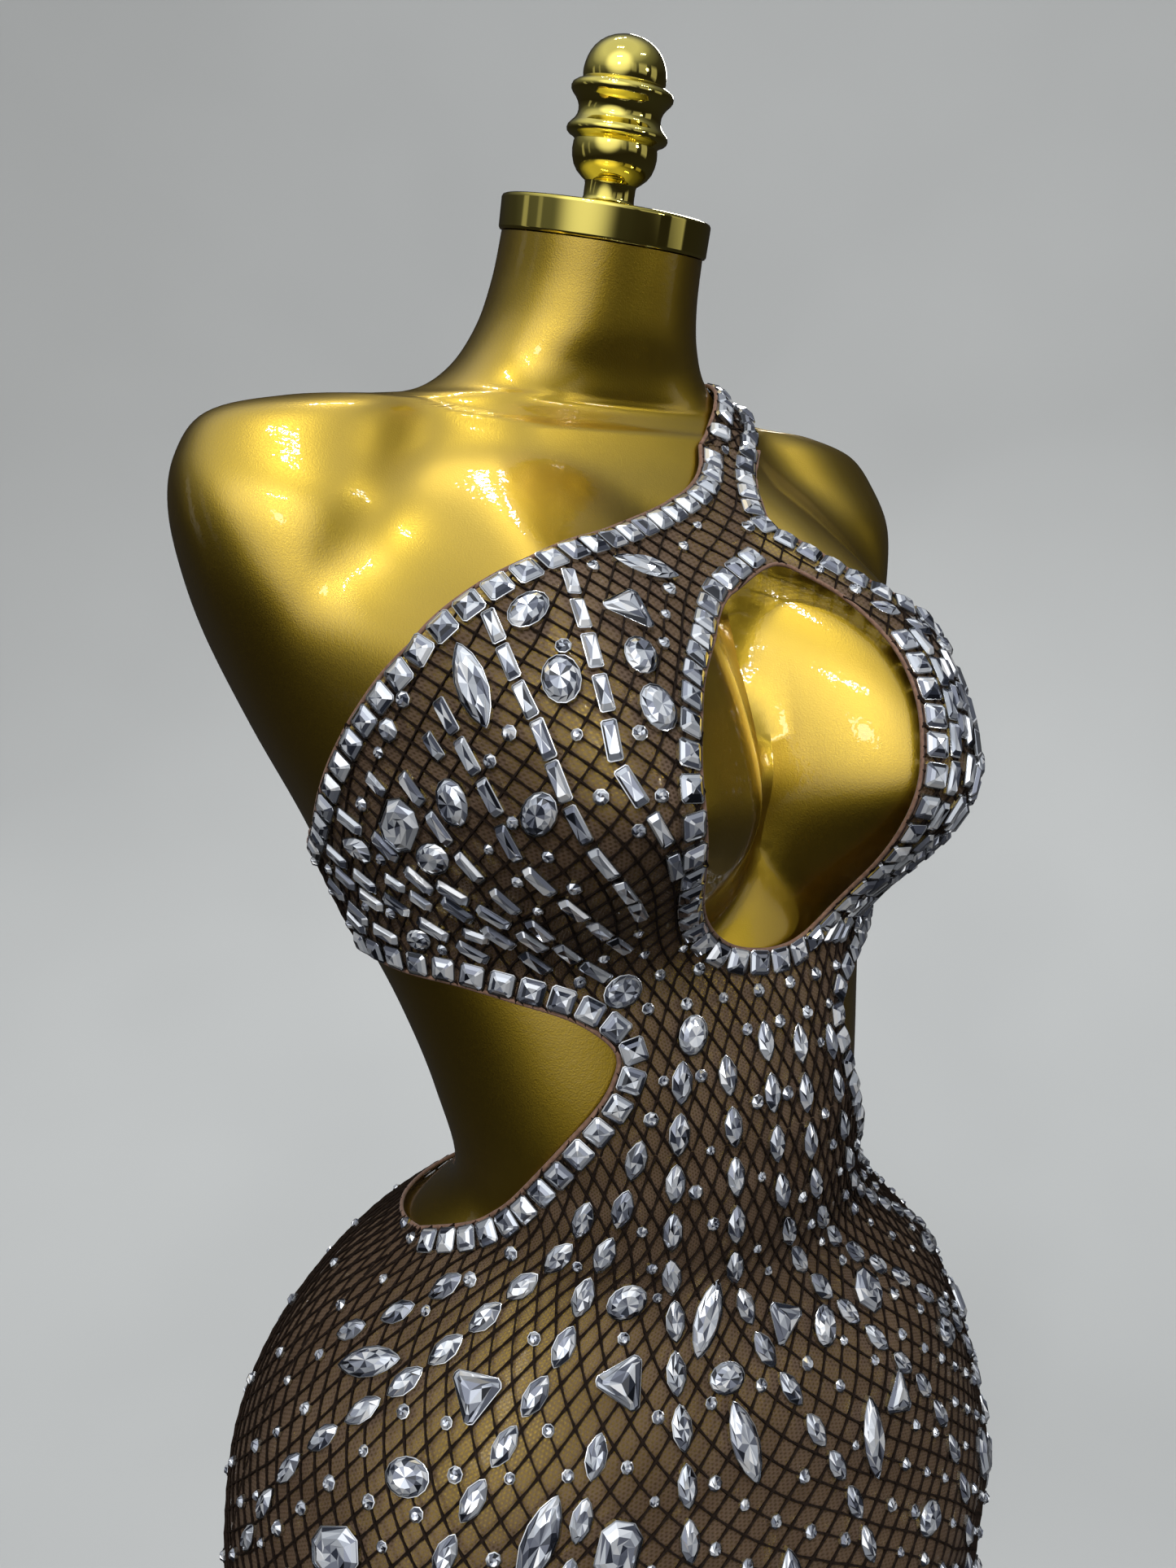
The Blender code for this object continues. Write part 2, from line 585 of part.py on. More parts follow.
def shoulder_strap(look, collection):
    path = strap_path()
    lines = [sideways(path, offset) for offset in np.linspace(-0.5, 0.5, 4) * STRAP_WIDTH]
    turns = np.stack([line[:, 0] for line in lines], -1)
    heights = np.stack([line[:, 1] for line in lines], -1)
    # square ends meet the front's seam and the band's edge
    heights[0] = STRAP_SEAM + GAP
    heights[-1] = BAND_TOP + GAP
    add_object("shoulder_strap", wall("shoulder_strap", turns, heights, STRAP_CLEAR), look, collection)


def crystal_row(name, path, look, collection, start=0.004, end=0.004):
    # square crystals along a path, on a narrow setting that dips between them
    length = real_lengths(path)[-1] - start - end
    count = int(length // SQUARE_PITCH)
    pitch = length / count
    half_gem = SQUARE / SQUARE_PITCH * pitch / 2
    stations = []
    for k in range(count):
        middle = start + (k + 0.5) * pitch
        stations.append((middle - pitch / 2, SETTING_NECK, 0))
        stations.append((middle - half_gem * SQUARE_FACE, 1, SQUARE_RISE))
        stations.append((middle + half_gem * SQUARE_FACE, 1, SQUARE_RISE))
    stations.append((start + length, SETTING_NECK, 0))
    distances = [station[0] for station in stations]
    widths = np.array([station[1] for station in stations]) * SQUARE / 2
    rises = np.array([station[2] for station in stations])
    middle_line = along(path, distances)
    left = sideways(middle_line, widths[:, None])
    right = sideways(middle_line, -widths[:, None])
    under = np.full(len(rises), FORM_CLEAR + CLOTH + ROW_CLEAR[name])
    over = under + BAND_BACK + rises
    corners = [
        lifted(left[:, 0], left[:, 1], under), lifted(right[:, 0], right[:, 1], under),
        lifted(right[:, 0], right[:, 1], over), lifted(left[:, 0], left[:, 1], over),
    ]
    mesh = loft(name + "_crystals", np.stack(corners, 1))
    mesh.shade_flat()
    add_object(name + "_crystals", mesh, look, collection)


def crystal_rows(look, collection):
    neckline = smooth_path(NECKLINE)
    armhole = smooth_path(ARMHOLE)
    near = smooth_path(NEAR_CUTOUT)
    far = smooth_path(FAR_CUTOUT)[::-1]
    keyhole = smooth_path(KEYHOLE, True)
    # the row leaves out the narrow place between the keyhole and the armhole
    keyhole = keyhole[: int(len(keyhole) * 0.86)]
    # on the strap the rows end at the top of the shoulder
    strap = strap_path()[:STRAP_ROW_POINTS]
    crystal_row("neckline", sideways(neckline, -EDGE_INSET), look, collection, end=0.007)
    crystal_row("armhole", sideways(armhole, -EDGE_INSET), look, collection, start=0.014)
    crystal_row("right_cutout", sideways(near, EDGE_INSET), look, collection)
    crystal_row("left_cutout", sideways(far, EDGE_INSET), look, collection)
    crystal_row("keyhole", sideways(keyhole, -EDGE_INSET), look, collection, start=0.010)
    aside = STRAP_WIDTH / 2 - EDGE_INSET + GAP
    crystal_row("strap_inner", sideways(strap, aside), look, collection)
    crystal_row("strap_outer", sideways(strap, -aside), look, collection)


def main():
    clear_scene()
    parts = new_collection("Mini dress on a form")
    cutters = new_collection("Cutters")
    cutters.hide_render = True
    gold_paint = material("gold_paint", (0.62, 0.42, 0.06), 0.28, 0.85)
    gold_chrome = material("gold_chrome", (0.85, 0.66, 0.22), 0.08, 1.0)
    net = material("net", (0.33, 0.21, 0.13), 0.75, 0.0)
    crystal = material("crystal", (0.78, 0.82, 0.88), 0.05, 0.6)
    torso_form(gold_paint, parts)
    neck_hardware(gold_chrome, parts)
    stand(gold_chrome, parts)
    dress_front(net, parts, cutters)
    back_pieces(net, parts)
    shoulder_strap(net, parts)
    crystal_rows(crystal, parts)


main()
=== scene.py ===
import math

import bpy
import numpy as np
from mathutils import Matrix, Vector
from mathutils.bvhtree import BVHTree


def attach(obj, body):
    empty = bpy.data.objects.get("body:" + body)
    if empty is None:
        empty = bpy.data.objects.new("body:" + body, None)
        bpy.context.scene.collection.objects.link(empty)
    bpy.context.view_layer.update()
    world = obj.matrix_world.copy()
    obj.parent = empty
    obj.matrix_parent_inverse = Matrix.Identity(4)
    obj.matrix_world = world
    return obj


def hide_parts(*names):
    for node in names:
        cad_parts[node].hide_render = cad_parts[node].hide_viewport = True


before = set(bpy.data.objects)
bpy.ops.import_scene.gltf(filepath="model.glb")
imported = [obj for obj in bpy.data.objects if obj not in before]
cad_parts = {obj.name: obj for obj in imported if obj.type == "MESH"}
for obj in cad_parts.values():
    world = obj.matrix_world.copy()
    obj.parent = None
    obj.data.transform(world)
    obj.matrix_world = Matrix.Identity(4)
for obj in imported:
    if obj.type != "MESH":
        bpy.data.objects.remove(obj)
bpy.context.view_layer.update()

rng = np.random.default_rng(11)

# the figure's shape, shared by the form and everything worn on it

figure = {
    # height, half width, depth in front, depth behind, centre to the rear, squareness, tilt
    "sections": [
        (0.600, 0.1780, 0.1080, 0.1280, -0.0160, 2.20, 0.0),
        (0.680, 0.1880, 0.1180, 0.1450, -0.0170, 2.20, 0.0),
        (0.760, 0.1970, 0.1280, 0.1620, -0.0180, 2.20, 0.0),
        (0.820, 0.2010, 0.1330, 0.1730, -0.0175, 2.20, 0.0),
        (0.860, 0.1966, 0.1300, 0.1650, -0.0120, 2.20, 0.0),
        (0.890, 0.1890, 0.1270, 0.1510, -0.0085, 2.15, 0.0),
        (0.920, 0.1745, 0.1215, 0.1330, -0.0070, 2.10, 0.0),
        (0.950, 0.1480, 0.1110, 0.1100, -0.0045, 2.05, 0.0),
        (0.980, 0.1180, 0.0930, 0.0860, -0.0150, 2.00, 0.0),
        (1.010, 0.1010, 0.0825, 0.0745, -0.0290, 2.00, 0.0),
        (1.050, 0.1070, 0.0857, 0.0810, -0.0238, 2.00, 0.0),
        (1.090, 0.1180, 0.0895, 0.0895, -0.0116, 2.05, 0.0),
        (1.130, 0.1330, 0.0934, 0.1005, 0.0035, 2.10, 0.0),
        (1.170, 0.1465, 0.0960, 0.1080, 0.0175, 2.15, 0.0),
        (1.210, 0.1630, 0.0990, 0.1140, 0.0320, 2.20, 0.0),
        (1.250, 0.1790, 0.0960, 0.1170, 0.0385, 2.30, 0.0),
        (1.280, 0.1890, 0.0853, 0.1100, 0.0380, 2.30, 0.0),
        (1.305, 0.1935, 0.0736, 0.0960, 0.0380, 2.30, 0.0),
        (1.325, 0.1905, 0.0611, 0.0800, 0.0396, 2.20, 0.0),
        (1.342, 0.1780, 0.0520, 0.0700, 0.0410, 2.10, 0.0),
        (1.350, 0.1500, 0.0470, 0.0640, 0.0410, 2.00, 0.0),
        (1.354, 0.1150, 0.0460, 0.0600, 0.0400, 2.00, 0.0),
        (1.359, 0.0860, 0.0465, 0.0580, 0.0390, 2.00, 1.0),
        (1.371, 0.0660, 0.0470, 0.0550, 0.0360, 2.00, 4.0),
        (1.388, 0.0540, 0.0475, 0.0510, 0.0300, 2.00, 9.0),
        (1.407, 0.0485, 0.0470, 0.0480, 0.0240, 2.00, 13.0),
        (1.4265, 0.0465, 0.0465, 0.0465, 0.0180, 2.00, 15.0),
    ],
    "bustApart": 0.083, "bustHeight": 1.198, "bustReach": 0.080, "bustWidth": 0.090,
    "bustUp": 0.135, "bustDown": 0.085, "bustFade": 0.35, "valleyDraw": 0.38,
    "hollow": {"top": (0.092, 1.342), "foot": (0.126, 1.274), "width": 0.024, "depth": 0.013, "end": 0.020},
    "valley": {"aside": 0.016, "fullness": 1.3, "under": 0.0022, "underFull": 0.020, "narrowing": 3},
    "ledge": {"front": 1.3425, "side": 1.3520, "from": 0.045, "across": 0.050, "out": 0.0025, "step": 0.0016,
              "fade": 0.012},
    "flatRadius": 0.120,  # metres across the flat pattern for each radian round the figure
}
sectionHeights = [row[0] for row in figure["sections"]]


def unit(vectors):
    return vectors / np.linalg.norm(vectors, axis=-1, keepdims=True)


def smoothRows(rows, at):
    # smooth values at fractional row numbers
    rows = np.asarray(rows, float)
    at = np.clip(np.asarray(at, float), 0, len(rows) - 1)
    low = np.minimum(at.astype(int), len(rows) - 2)
    share = (at - low)[..., None]
    before, first, second, after = (rows[np.clip(low + k, 0, len(rows) - 1)] for k in (-1, 0, 1, 2))
    return 0.5 * (2 * first + (second - before) * share
                  + (2 * before - 5 * first + 4 * second - after) * share**2
                  + (3 * first - before - 3 * second + after) * share**3)


def readRows(at, marks, rows):
    return np.stack([np.interp(at, marks, rows[:, k]) for k in range(rows.shape[1])], -1)


def bustUpright(z):
    # height from the bust's middle, as a share of its reach upwards or downwards
    above = z - figure["bustHeight"]
    return np.where(above > 0, above / figure["bustUp"], above / figure["bustDown"])


def bustPush(x, z):
    upright = bustUpright(z)
    total = 0
    for side in (-1, 1):
        across = (x - side * figure["bustApart"]) / figure["bustWidth"]
        total = total + figure["bustReach"] * (1 - np.clip(across**2 + upright**2, 0, 1)) ** 2
    return total


def bridgedPush(x, z):
    # worn cloth spans the valley
    apart = figure["bustApart"]
    inward = np.clip(1 - (np.abs(x) / apart) ** 2, 0, 1)
    span = (1 - figure["valleyDraw"] * inward**2) * bustPush(np.full_like(x, apart), z)
    return np.where(np.abs(x) < apart, np.maximum(bustPush(x, z), span), bustPush(x, z))


def bareBust(x, z):
    # fuller towards the valley, which lies a little to one side, and always clear of the worn cloth
    valley, apart = figure["valley"], figure["bustApart"]
    spare = np.clip(1 - bustUpright(z) ** 2, 1e-6, 1)
    inward = np.clip(1 - (x / apart) ** 2, 0, 1)
    moved = x - valley["aside"] * inward
    total = 0
    for side in (-1, 1):
        across = (moved - side * apart) / figure["bustWidth"]
        power = np.where(across * side < 0, valley["fullness"], 2)
        total = total + figure["bustReach"] * spare**2 * np.clip(1 - across**2 / spare, 0, 1) ** power
    bridged = bridgedPush(x, z)
    narrow, deep = np.minimum(inward * valley["narrowing"], 1), np.clip(bridged / valley["underFull"], 0, 1)
    return np.minimum(total, bridged - valley["under"] * narrow * deep)


def shoulderHollow(x, z):
    # the soft hollow between chest and shoulder, on the bare form alone
    hollow = figure["hollow"]
    (ax, az), (bx, bz) = hollow["top"], hollow["foot"]
    run = np.array([bx - ax, bz - az])
    length = np.hypot(*run)
    along = ((np.abs(x) - ax) * run[0] + (z - az) * run[1]) / length**2
    aside = ((np.abs(x) - ax) * run[1] - (z - az) * run[0]) / length
    past = (np.clip(along - 1, 0, None) + np.clip(-along, 0, None)) * length
    return hollow["depth"] * np.exp(-((aside / hollow["width"]) ** 2)) * np.exp(-((past / hollow["end"]) ** 2))


def collarLedge(x, z):
    # the small step where the neck stands on the shoulders
    ledge = figure["ledge"]
    toSide = np.clip((np.abs(x) - ledge["from"]) / ledge["across"], 0, 1) ** 2
    below = ledge["front"] + (ledge["side"] - ledge["front"]) * toSide - z
    step = np.clip(below / ledge["step"], 0, 1)
    return ledge["out"] * step**2 * (3 - 2 * step) * np.exp(-np.clip(below, 0, None) / ledge["fade"])


def figurePoint(turn, height, worn=True, at=None):
    turn = np.asarray(turn, float)
    if at is None:
        at = np.interp(height, sectionHeights, range(len(sectionHeights)))
    z, half, front, back, centre, square, tilt = np.moveaxis(smoothRows(figure["sections"], at), -1, 0)
    sine, cosine = np.sin(turn), np.cos(turn)
    x = half * np.sign(sine) * np.abs(sine) ** (2 / square)
    y = -np.where(cosine > 0, front, back) * np.sign(cosine) * np.abs(cosine) ** (2 / square)
    push = bridgedPush(x, z) if worn else bareBust(x, z) - shoulderHollow(x, z) + collarLedge(x, z)
    y = y - push * np.clip(cosine, 0, 1) ** figure["bustFade"]
    lean = np.radians(tilt)
    return np.stack([x, centre + y * np.cos(lean), z + y * np.sin(lean)], -1)


def figureFrame(turn, height):
    # the place, its directions round and up the figure, and outwards
    small = 1e-3
    around = (figurePoint(turn + small, height) - figurePoint(turn - small, height)) / (2 * small)
    upward = (figurePoint(turn, height + small) - figurePoint(turn, height - small)) / (2 * small)
    return figurePoint(turn, height), around, upward, unit(np.cross(around, upward))


creases = {
    "gathers": {"turn": 0.25, "top": 1.335, "middle": 1.325, "radius": 0.10, "folds": 15, "lift": 0.0005,
                "reach": 0.035},
    "waist": {"middle": 1.035, "waves": 260, "sways": 5, "sway": 1.6, "lift": 0.0005, "reach": 0.040},
    "hips": {"middle": 0.80, "waves": 90, "slant": 11, "lift": 0.0004, "reach": 0.13},
}


def creaseLift(turn, height):
    # gathers below the strap, and a little slack across the waist and the hips
    gathers, waist, hips = (creases[name] for name in ("gathers", "waist", "hips"))
    fromStrap = np.hypot((turn - gathers["turn"]) * gathers["radius"], height - gathers["middle"])
    fan = np.arctan2(turn - gathers["turn"], gathers["top"] - height) * gathers["folds"]
    wavy = height * waist["waves"] + np.sin(turn * waist["sways"]) * waist["sway"]
    slanted = height * hips["waves"] + turn * hips["slant"]
    total = 0
    fromWaist, fromHips = height - waist["middle"], height - hips["middle"]
    for crease, wave, away in ((gathers, fan, fromStrap), (waist, wavy, fromWaist), (hips, slanted, fromHips)):
        total = total + crease["lift"] * np.sin(wave) * np.exp(-((away / crease["reach"]) ** 2))
    return total


def onCloth(turn, height, lift):
    point, _, _, normal = figureFrame(turn, height)
    return point + normal * np.asarray(lift + creaseLift(turn, height))[..., None]


def tangentStep(turn, height, vector):
    # the place reached by a short move over the figure
    _, around, upward, _ = figureFrame(turn, height)
    aa, au, uu = ((p * q).sum(-1) for p, q in ((around, around), (around, upward), (upward, upward)))
    va, vu = (vector * around).sum(-1), (vector * upward).sum(-1)
    spread = aa * uu - au**2
    return turn + (va * uu - vu * au) / spread, height + (vu * aa - va * au) / spread


def smoothPath(rows, closed=False, perSpan=12):
    rows = [(math.radians(turn), height) for turn, height in rows]
    if closed:
        rows = rows[-1:] + rows + rows[:2]
        return smoothRows(rows, np.arange(1, len(rows) - 2, 1 / perSpan))
    return smoothRows(rows, np.linspace(0, len(rows) - 1, (len(rows) - 1) * perSpan + 1))


def runLengths(path):
    steps = np.diff(figurePoint(path[:, 0], path[:, 1]), axis=0)
    return np.concatenate([[0], np.cumsum(np.linalg.norm(steps, axis=1))])


def alongPath(path, distances):
    return readRows(distances, runLengths(path), path)


def sideways(path, distance):
    # moves a path over the cloth to its left, seen from outside
    turns, heights = path.T
    _, around, upward, normal = figureFrame(turns, heights)
    rate = np.gradient(path, axis=0)
    forward = unit(around * rate[:, :1] + upward * rate[:, 1:])
    return np.stack(tangentStep(turns, heights, np.cross(normal, forward) * distance), -1)


# the camera, and small helpers for modelling

camera = {"place": (-0.3186, -0.4606, 1.270), "turn": 33.0, "pitch": -9.3, "lens": 27.05, "sensor": 36.0}


def linkNew(name, data):
    made = bpy.data.objects.new(name, data)
    bpy.context.scene.collection.objects.link(made)
    return made


def setCamera():
    data = bpy.data.cameras.new("photoCamera")
    data.lens, data.sensor_width, data.sensor_fit = camera["lens"], camera["sensor"], "AUTO"
    data.clip_start, data.clip_end = 0.01, 50
    made = linkNew("photoCamera", data)
    made.location = camera["place"]
    made.rotation_euler = (math.radians(90 + camera["pitch"]), 0, math.radians(-camera["turn"]))
    bpy.context.scene.camera = made


setCamera()


def clearSelection():
    if bpy.context.object and bpy.context.object.mode != "OBJECT":
        bpy.ops.object.mode_set(mode="OBJECT")
    bpy.ops.object.select_all(action="DESELECT")


def pick(piece):
    clearSelection()
    piece.select_set(True)
    bpy.context.view_layer.objects.active = piece


def editAll(piece, kind="VERT"):
    pick(piece)
    bpy.ops.object.mode_set(mode="EDIT")
    bpy.ops.mesh.select_mode(type=kind)
    bpy.ops.mesh.select_all(action="SELECT")


def endEdit():
    bpy.ops.object.mode_set(mode="OBJECT")


def getPoints(piece):
    flat = np.empty(len(piece.data.vertices) * 3)
    piece.data.vertices.foreach_get("co", flat)
    return flat.reshape(-1, 3)


def setPoints(piece, points):
    piece.data.vertices.foreach_set("co", np.asarray(points, np.float32).ravel())
    piece.data.update()


def newPiece(name):
    made = bpy.context.object
    made.name = made.data.name = name
    return made


def gridPiece(name, columns, rows):
    clearSelection()
    bpy.ops.mesh.primitive_grid_add(x_subdivisions=columns, y_subdivisions=rows, size=1)
    made = newPiece(name)
    return made, getPoints(made)


def circlePiece(name, sides, radius=1, fill="NGON"):
    clearSelection()
    bpy.ops.mesh.primitive_circle_add(vertices=sides, radius=radius, fill_type=fill)
    return newPiece(name)


def extrudeUp(rise):
    bpy.ops.mesh.extrude_region_move(TRANSFORM_OT_translate={"value": (0, 0, rise)})


def scaleAt(level, wide, deep=None):
    bpy.ops.transform.resize(value=(wide, deep or wide, 1), center_override=(0, 0, level))


def closeOpenings(kind="EDGE"):
    # a face over each open loop of the piece that is being edited
    bpy.ops.mesh.select_all(action="DESELECT")
    bpy.ops.mesh.select_mode(type=kind)
    bpy.ops.mesh.select_non_manifold()
    bpy.ops.mesh.edge_face_add()


def faceOutwards(inside=False):
    bpy.ops.mesh.select_all(action="SELECT")
    bpy.ops.mesh.normals_make_consistent(inside=inside)
    endEdit()


def applyModifiers(piece):
    pick(piece)
    for step in list(piece.modifiers):
        bpy.ops.object.modifier_apply(modifier=step.name)


def selectNone(piece, kind="VERT"):
    editAll(piece, kind)
    bpy.ops.mesh.select_all(action="DESELECT")
    endEdit()


def smoothBy(piece, degrees):
    pick(piece)
    bpy.ops.object.shade_smooth_by_angle(angle=math.radians(degrees))


def finishPiece(piece, look, replaced=()):
    piece.data.materials.clear()
    piece.data.materials.append(look)
    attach(piece, "root")
    if replaced:
        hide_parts(*replaced)
    return piece


def tubePiece(name, runs, radius, looped=False, bevelSteps=0, radii=None):
    # cords along runs of points, made as one curve and turned into a mesh
    curve = bpy.data.curves.new(name, "CURVE")
    curve.dimensions = "3D"
    curve.bevel_depth = radius
    curve.bevel_resolution = bevelSteps
    curve.use_fill_caps = not looped
    for k, run in enumerate(runs):
        spline = curve.splines.new("POLY")
        spline.points.add(len(run) - 1)
        spline.points.foreach_set("co", np.column_stack([run, np.ones(len(run))]).astype(np.float32).ravel())
        if radii is not None:
            spline.points.foreach_set("radius", np.asarray(radii[k], np.float32))
        spline.use_cyclic_u = looped
    pick(linkNew(name, curve))
    bpy.ops.object.convert(target="MESH")
    made = newPiece(name)
    editAll(made)
    bpy.ops.mesh.remove_doubles(threshold=0.00001)
    endEdit()
    smoothBy(made, 80)
    return made


# finishes


def feed(tree, node, inputs):
    # each input takes a value or the output of another node
    for key, value in inputs.items():
        if isinstance(value, bpy.types.NodeSocket):
            tree.links.new(value, node.inputs[key])
        else:
            node.inputs[key].default_value = value


def addNode(tree, kind, inputs, output=0, **settings):
    made = tree.nodes.new(kind)
    for key, value in settings.items():
        setattr(made, key, value)
    feed(tree, made, inputs)
    return made.outputs[output]


def newLook(name):
    look = bpy.data.materials.new(name)
    look.use_nodes = True
    return look, look.node_tree, look.node_tree.nodes["Principled BSDF"]


def noise(tree, scale, detail):
    place = addNode(tree, "ShaderNodeTexCoord", {}, "Object")
    return addNode(tree, "ShaderNodeTexNoise", {"Vector": place, "Scale": scale, "Detail": detail}, "Fac")


def mapped(tree, value, span, onto=(0, 1), curve="LINEAR"):
    ends = {"Value": value, "From Min": span[0], "From Max": span[1], "To Min": onto[0], "To Max": onto[1]}
    return addNode(tree, "ShaderNodeMapRange", ends, "Result", interpolation_type=curve)


def bump(tree, height, strength, distance):
    inputs = {"Height": height, "Strength": strength, "Distance": distance}
    return addNode(tree, "ShaderNodeBump", inputs, "Normal")


def ramp(tree, value, stops):
    made = tree.nodes.new("ShaderNodeValToRGB")
    elements = made.color_ramp.elements
    while len(elements) < len(stops):
        elements.new(0.5)
    for element, (place, colour) in zip(elements, stops):
        element.position, element.color = place, (*colour, 1)
    tree.links.new(value, made.inputs["Fac"])
    return made.outputs["Color"]


def goldLacquer():
    # metal flake paint under a clear, slightly rippled gloss coat
    look, tree, shader = newLook("goldLacquer")
    flakes = noise(tree, 1500.0, 1.0)
    tones = [(0.30, (0.58, 0.385, 0.032)), (0.70, (0.66, 0.45, 0.042))]
    feed(tree, shader, {
        "Base Color": ramp(tree, noise(tree, 9.0, 2.0), tones),
        "Roughness": mapped(tree, flakes, (0, 1), (0.28, 0.46)),
        "Normal": bump(tree, flakes, 0.16, 0.0004),
        "Coat Normal": bump(tree, noise(tree, 420.0, 1.0), 0.09, 0.0008),
        "Metallic": 1.0, "Coat Weight": 1.0, "Coat Roughness": 0.04,
    })
    return look


def plainMetal(name, colour, scale, detail, rough):
    look, tree, shader = newLook(name)
    roughness = mapped(tree, noise(tree, scale, detail), (0, 1), rough)
    feed(tree, shader, {"Base Color": (*colour, 1), "Metallic": 1.0, "Roughness": roughness})
    return look


def sheerMesh(pitch=0.00135):
    # fine six-sided mesh on the piece's own flat pattern: three waves, a third of a turn apart
    look, tree, shader = newLook("sheerMesh")
    pattern = addNode(tree, "ShaderNodeUVMap", {}, "UV", uv_map="flatPattern")
    waves = []
    for angle in (0, 60, 120):
        turned = addNode(tree, "ShaderNodeMapping", {
            "Vector": pattern, "Rotation": (0, 0, math.radians(angle)), "Scale": (2 * math.pi / pitch,) * 3,
        }, vector_type="POINT")
        across = addNode(tree, "ShaderNodeSeparateXYZ", {"Vector": turned}, "X")
        waves.append(addNode(tree, "ShaderNodeMath", {0: across}, operation="COSINE"))
    total = waves[0]
    for wave in waves[1:]:
        total = addNode(tree, "ShaderNodeMath", {0: total, 1: wave}, operation="ADD")
    tones = [(0.3, (0.130, 0.083, 0.054)), (0.7, (0.190, 0.126, 0.084))]
    feed(tree, shader, {
        "Alpha": mapped(tree, total, (-1.5, 3.0), (0.52, 0.10)),
        "Base Color": ramp(tree, noise(tree, 35.0, 3.0), tones),
        "Roughness": 0.62, "Sheen Weight": 0.08, "Sheen Roughness": 0.4,
    })
    return look


def clothCord(name, dark, light, scale, roughness, sheen, gloss):
    look, tree, shader = newLook(name)
    fibres = noise(tree, scale, 3.0)
    feed(tree, shader, {
        "Base Color": ramp(tree, fibres, [(0.3, dark), (0.7, light)]),
        "Normal": bump(tree, fibres, 0.4, 0.0002),
        "Roughness": roughness, "Sheen Weight": sheen, "Specular IOR Level": gloss,
    })
    return look


def crystalFacets():
    # painted reflections: each facet's base colour is a fixed tone from near black to white, standing in for
    # the light that the foil behind it throws back
    look, tree, shader = newLook("crystalFacets")
    facet = addNode(tree, "ShaderNodeAttribute", {}, "Fac", attribute_name="facet")
    feed(tree, shader, {
        "Base Color": ramp(tree, facet, [
            (0.00, (0.010, 0.012, 0.018)), (0.22, (0.055, 0.065, 0.095)), (0.42, (0.24, 0.26, 0.33)),
            (0.62, (0.56, 0.60, 0.66)), (0.82, (0.92, 0.95, 1.00)), (1.00, (1.00, 1.00, 1.00)),
        ]),
        "Metallic": 0.55, "Roughness": 0.05, "Coat Weight": 1.0, "Coat Roughness": 0.02,
    })
    return look


looks = {
    "lacquer": goldLacquer(),
    "chrome": plainMetal("goldChrome", (0.78, 0.66, 0.16), 60.0, 3.0, (0.03, 0.09)),
    "mesh": sheerMesh(),
    "net": clothCord("netCord", (0.005, 0.003, 0.002), (0.016, 0.010, 0.007), 900.0, 0.8, 0.0, 0.12),
    "roll": clothCord("rolledMesh", (0.11, 0.060, 0.040), (0.19, 0.11, 0.075), 500.0, 0.75, 0.1, 0.3),
    "crystal": crystalFacets(),
    "setting": plainMetal("stoneSetting", (0.62, 0.64, 0.67), 300.0, 2.0, (0.17, 0.30)),
}

# the form: a grid wrapped round the figure, closed at the seat and the neck

formShape = {"columns": 176, "rowsPerSection": 8, "rimWidth": 0.004, "rimSteps": 3}


def makeForm():
    spans = len(figure["sections"]) - 1
    made, flat = gridPiece("goldForm", formShape["columns"], spans * formShape["rowsPerSection"])
    setPoints(made, figurePoint(flat[:, 0] * 2 * math.pi, None, False, (flat[:, 1] + 0.5) * spans))
    editAll(made)
    bpy.ops.mesh.remove_doubles(threshold=0.00002)
    closeOpenings("VERT")
    faceOutwards()
    selectNone(made)
    # a small round on the rim of the flat underside
    for edge in made.data.edges:
        edge.select = all(abs(made.data.vertices[k].co.z - sectionHeights[0]) < 1e-5 for k in edge.vertices)
    bpy.ops.object.mode_set(mode="EDIT")
    bpy.ops.mesh.select_mode(type="EDGE")
    rim = {"offset": formShape["rimWidth"], "segments": formShape["rimSteps"]}
    bpy.ops.mesh.bevel(affect="EDGES", clamp_overlap=True, **rim)
    endEdit()
    smoothBy(made, 40)
    return finishPiece(made, looks["lacquer"], ["form_torso"])


form = makeForm()
print("form made:", len(form.data.polygons), "faces")

# turned metal: rings drawn up from a circle, then tilted with the neck

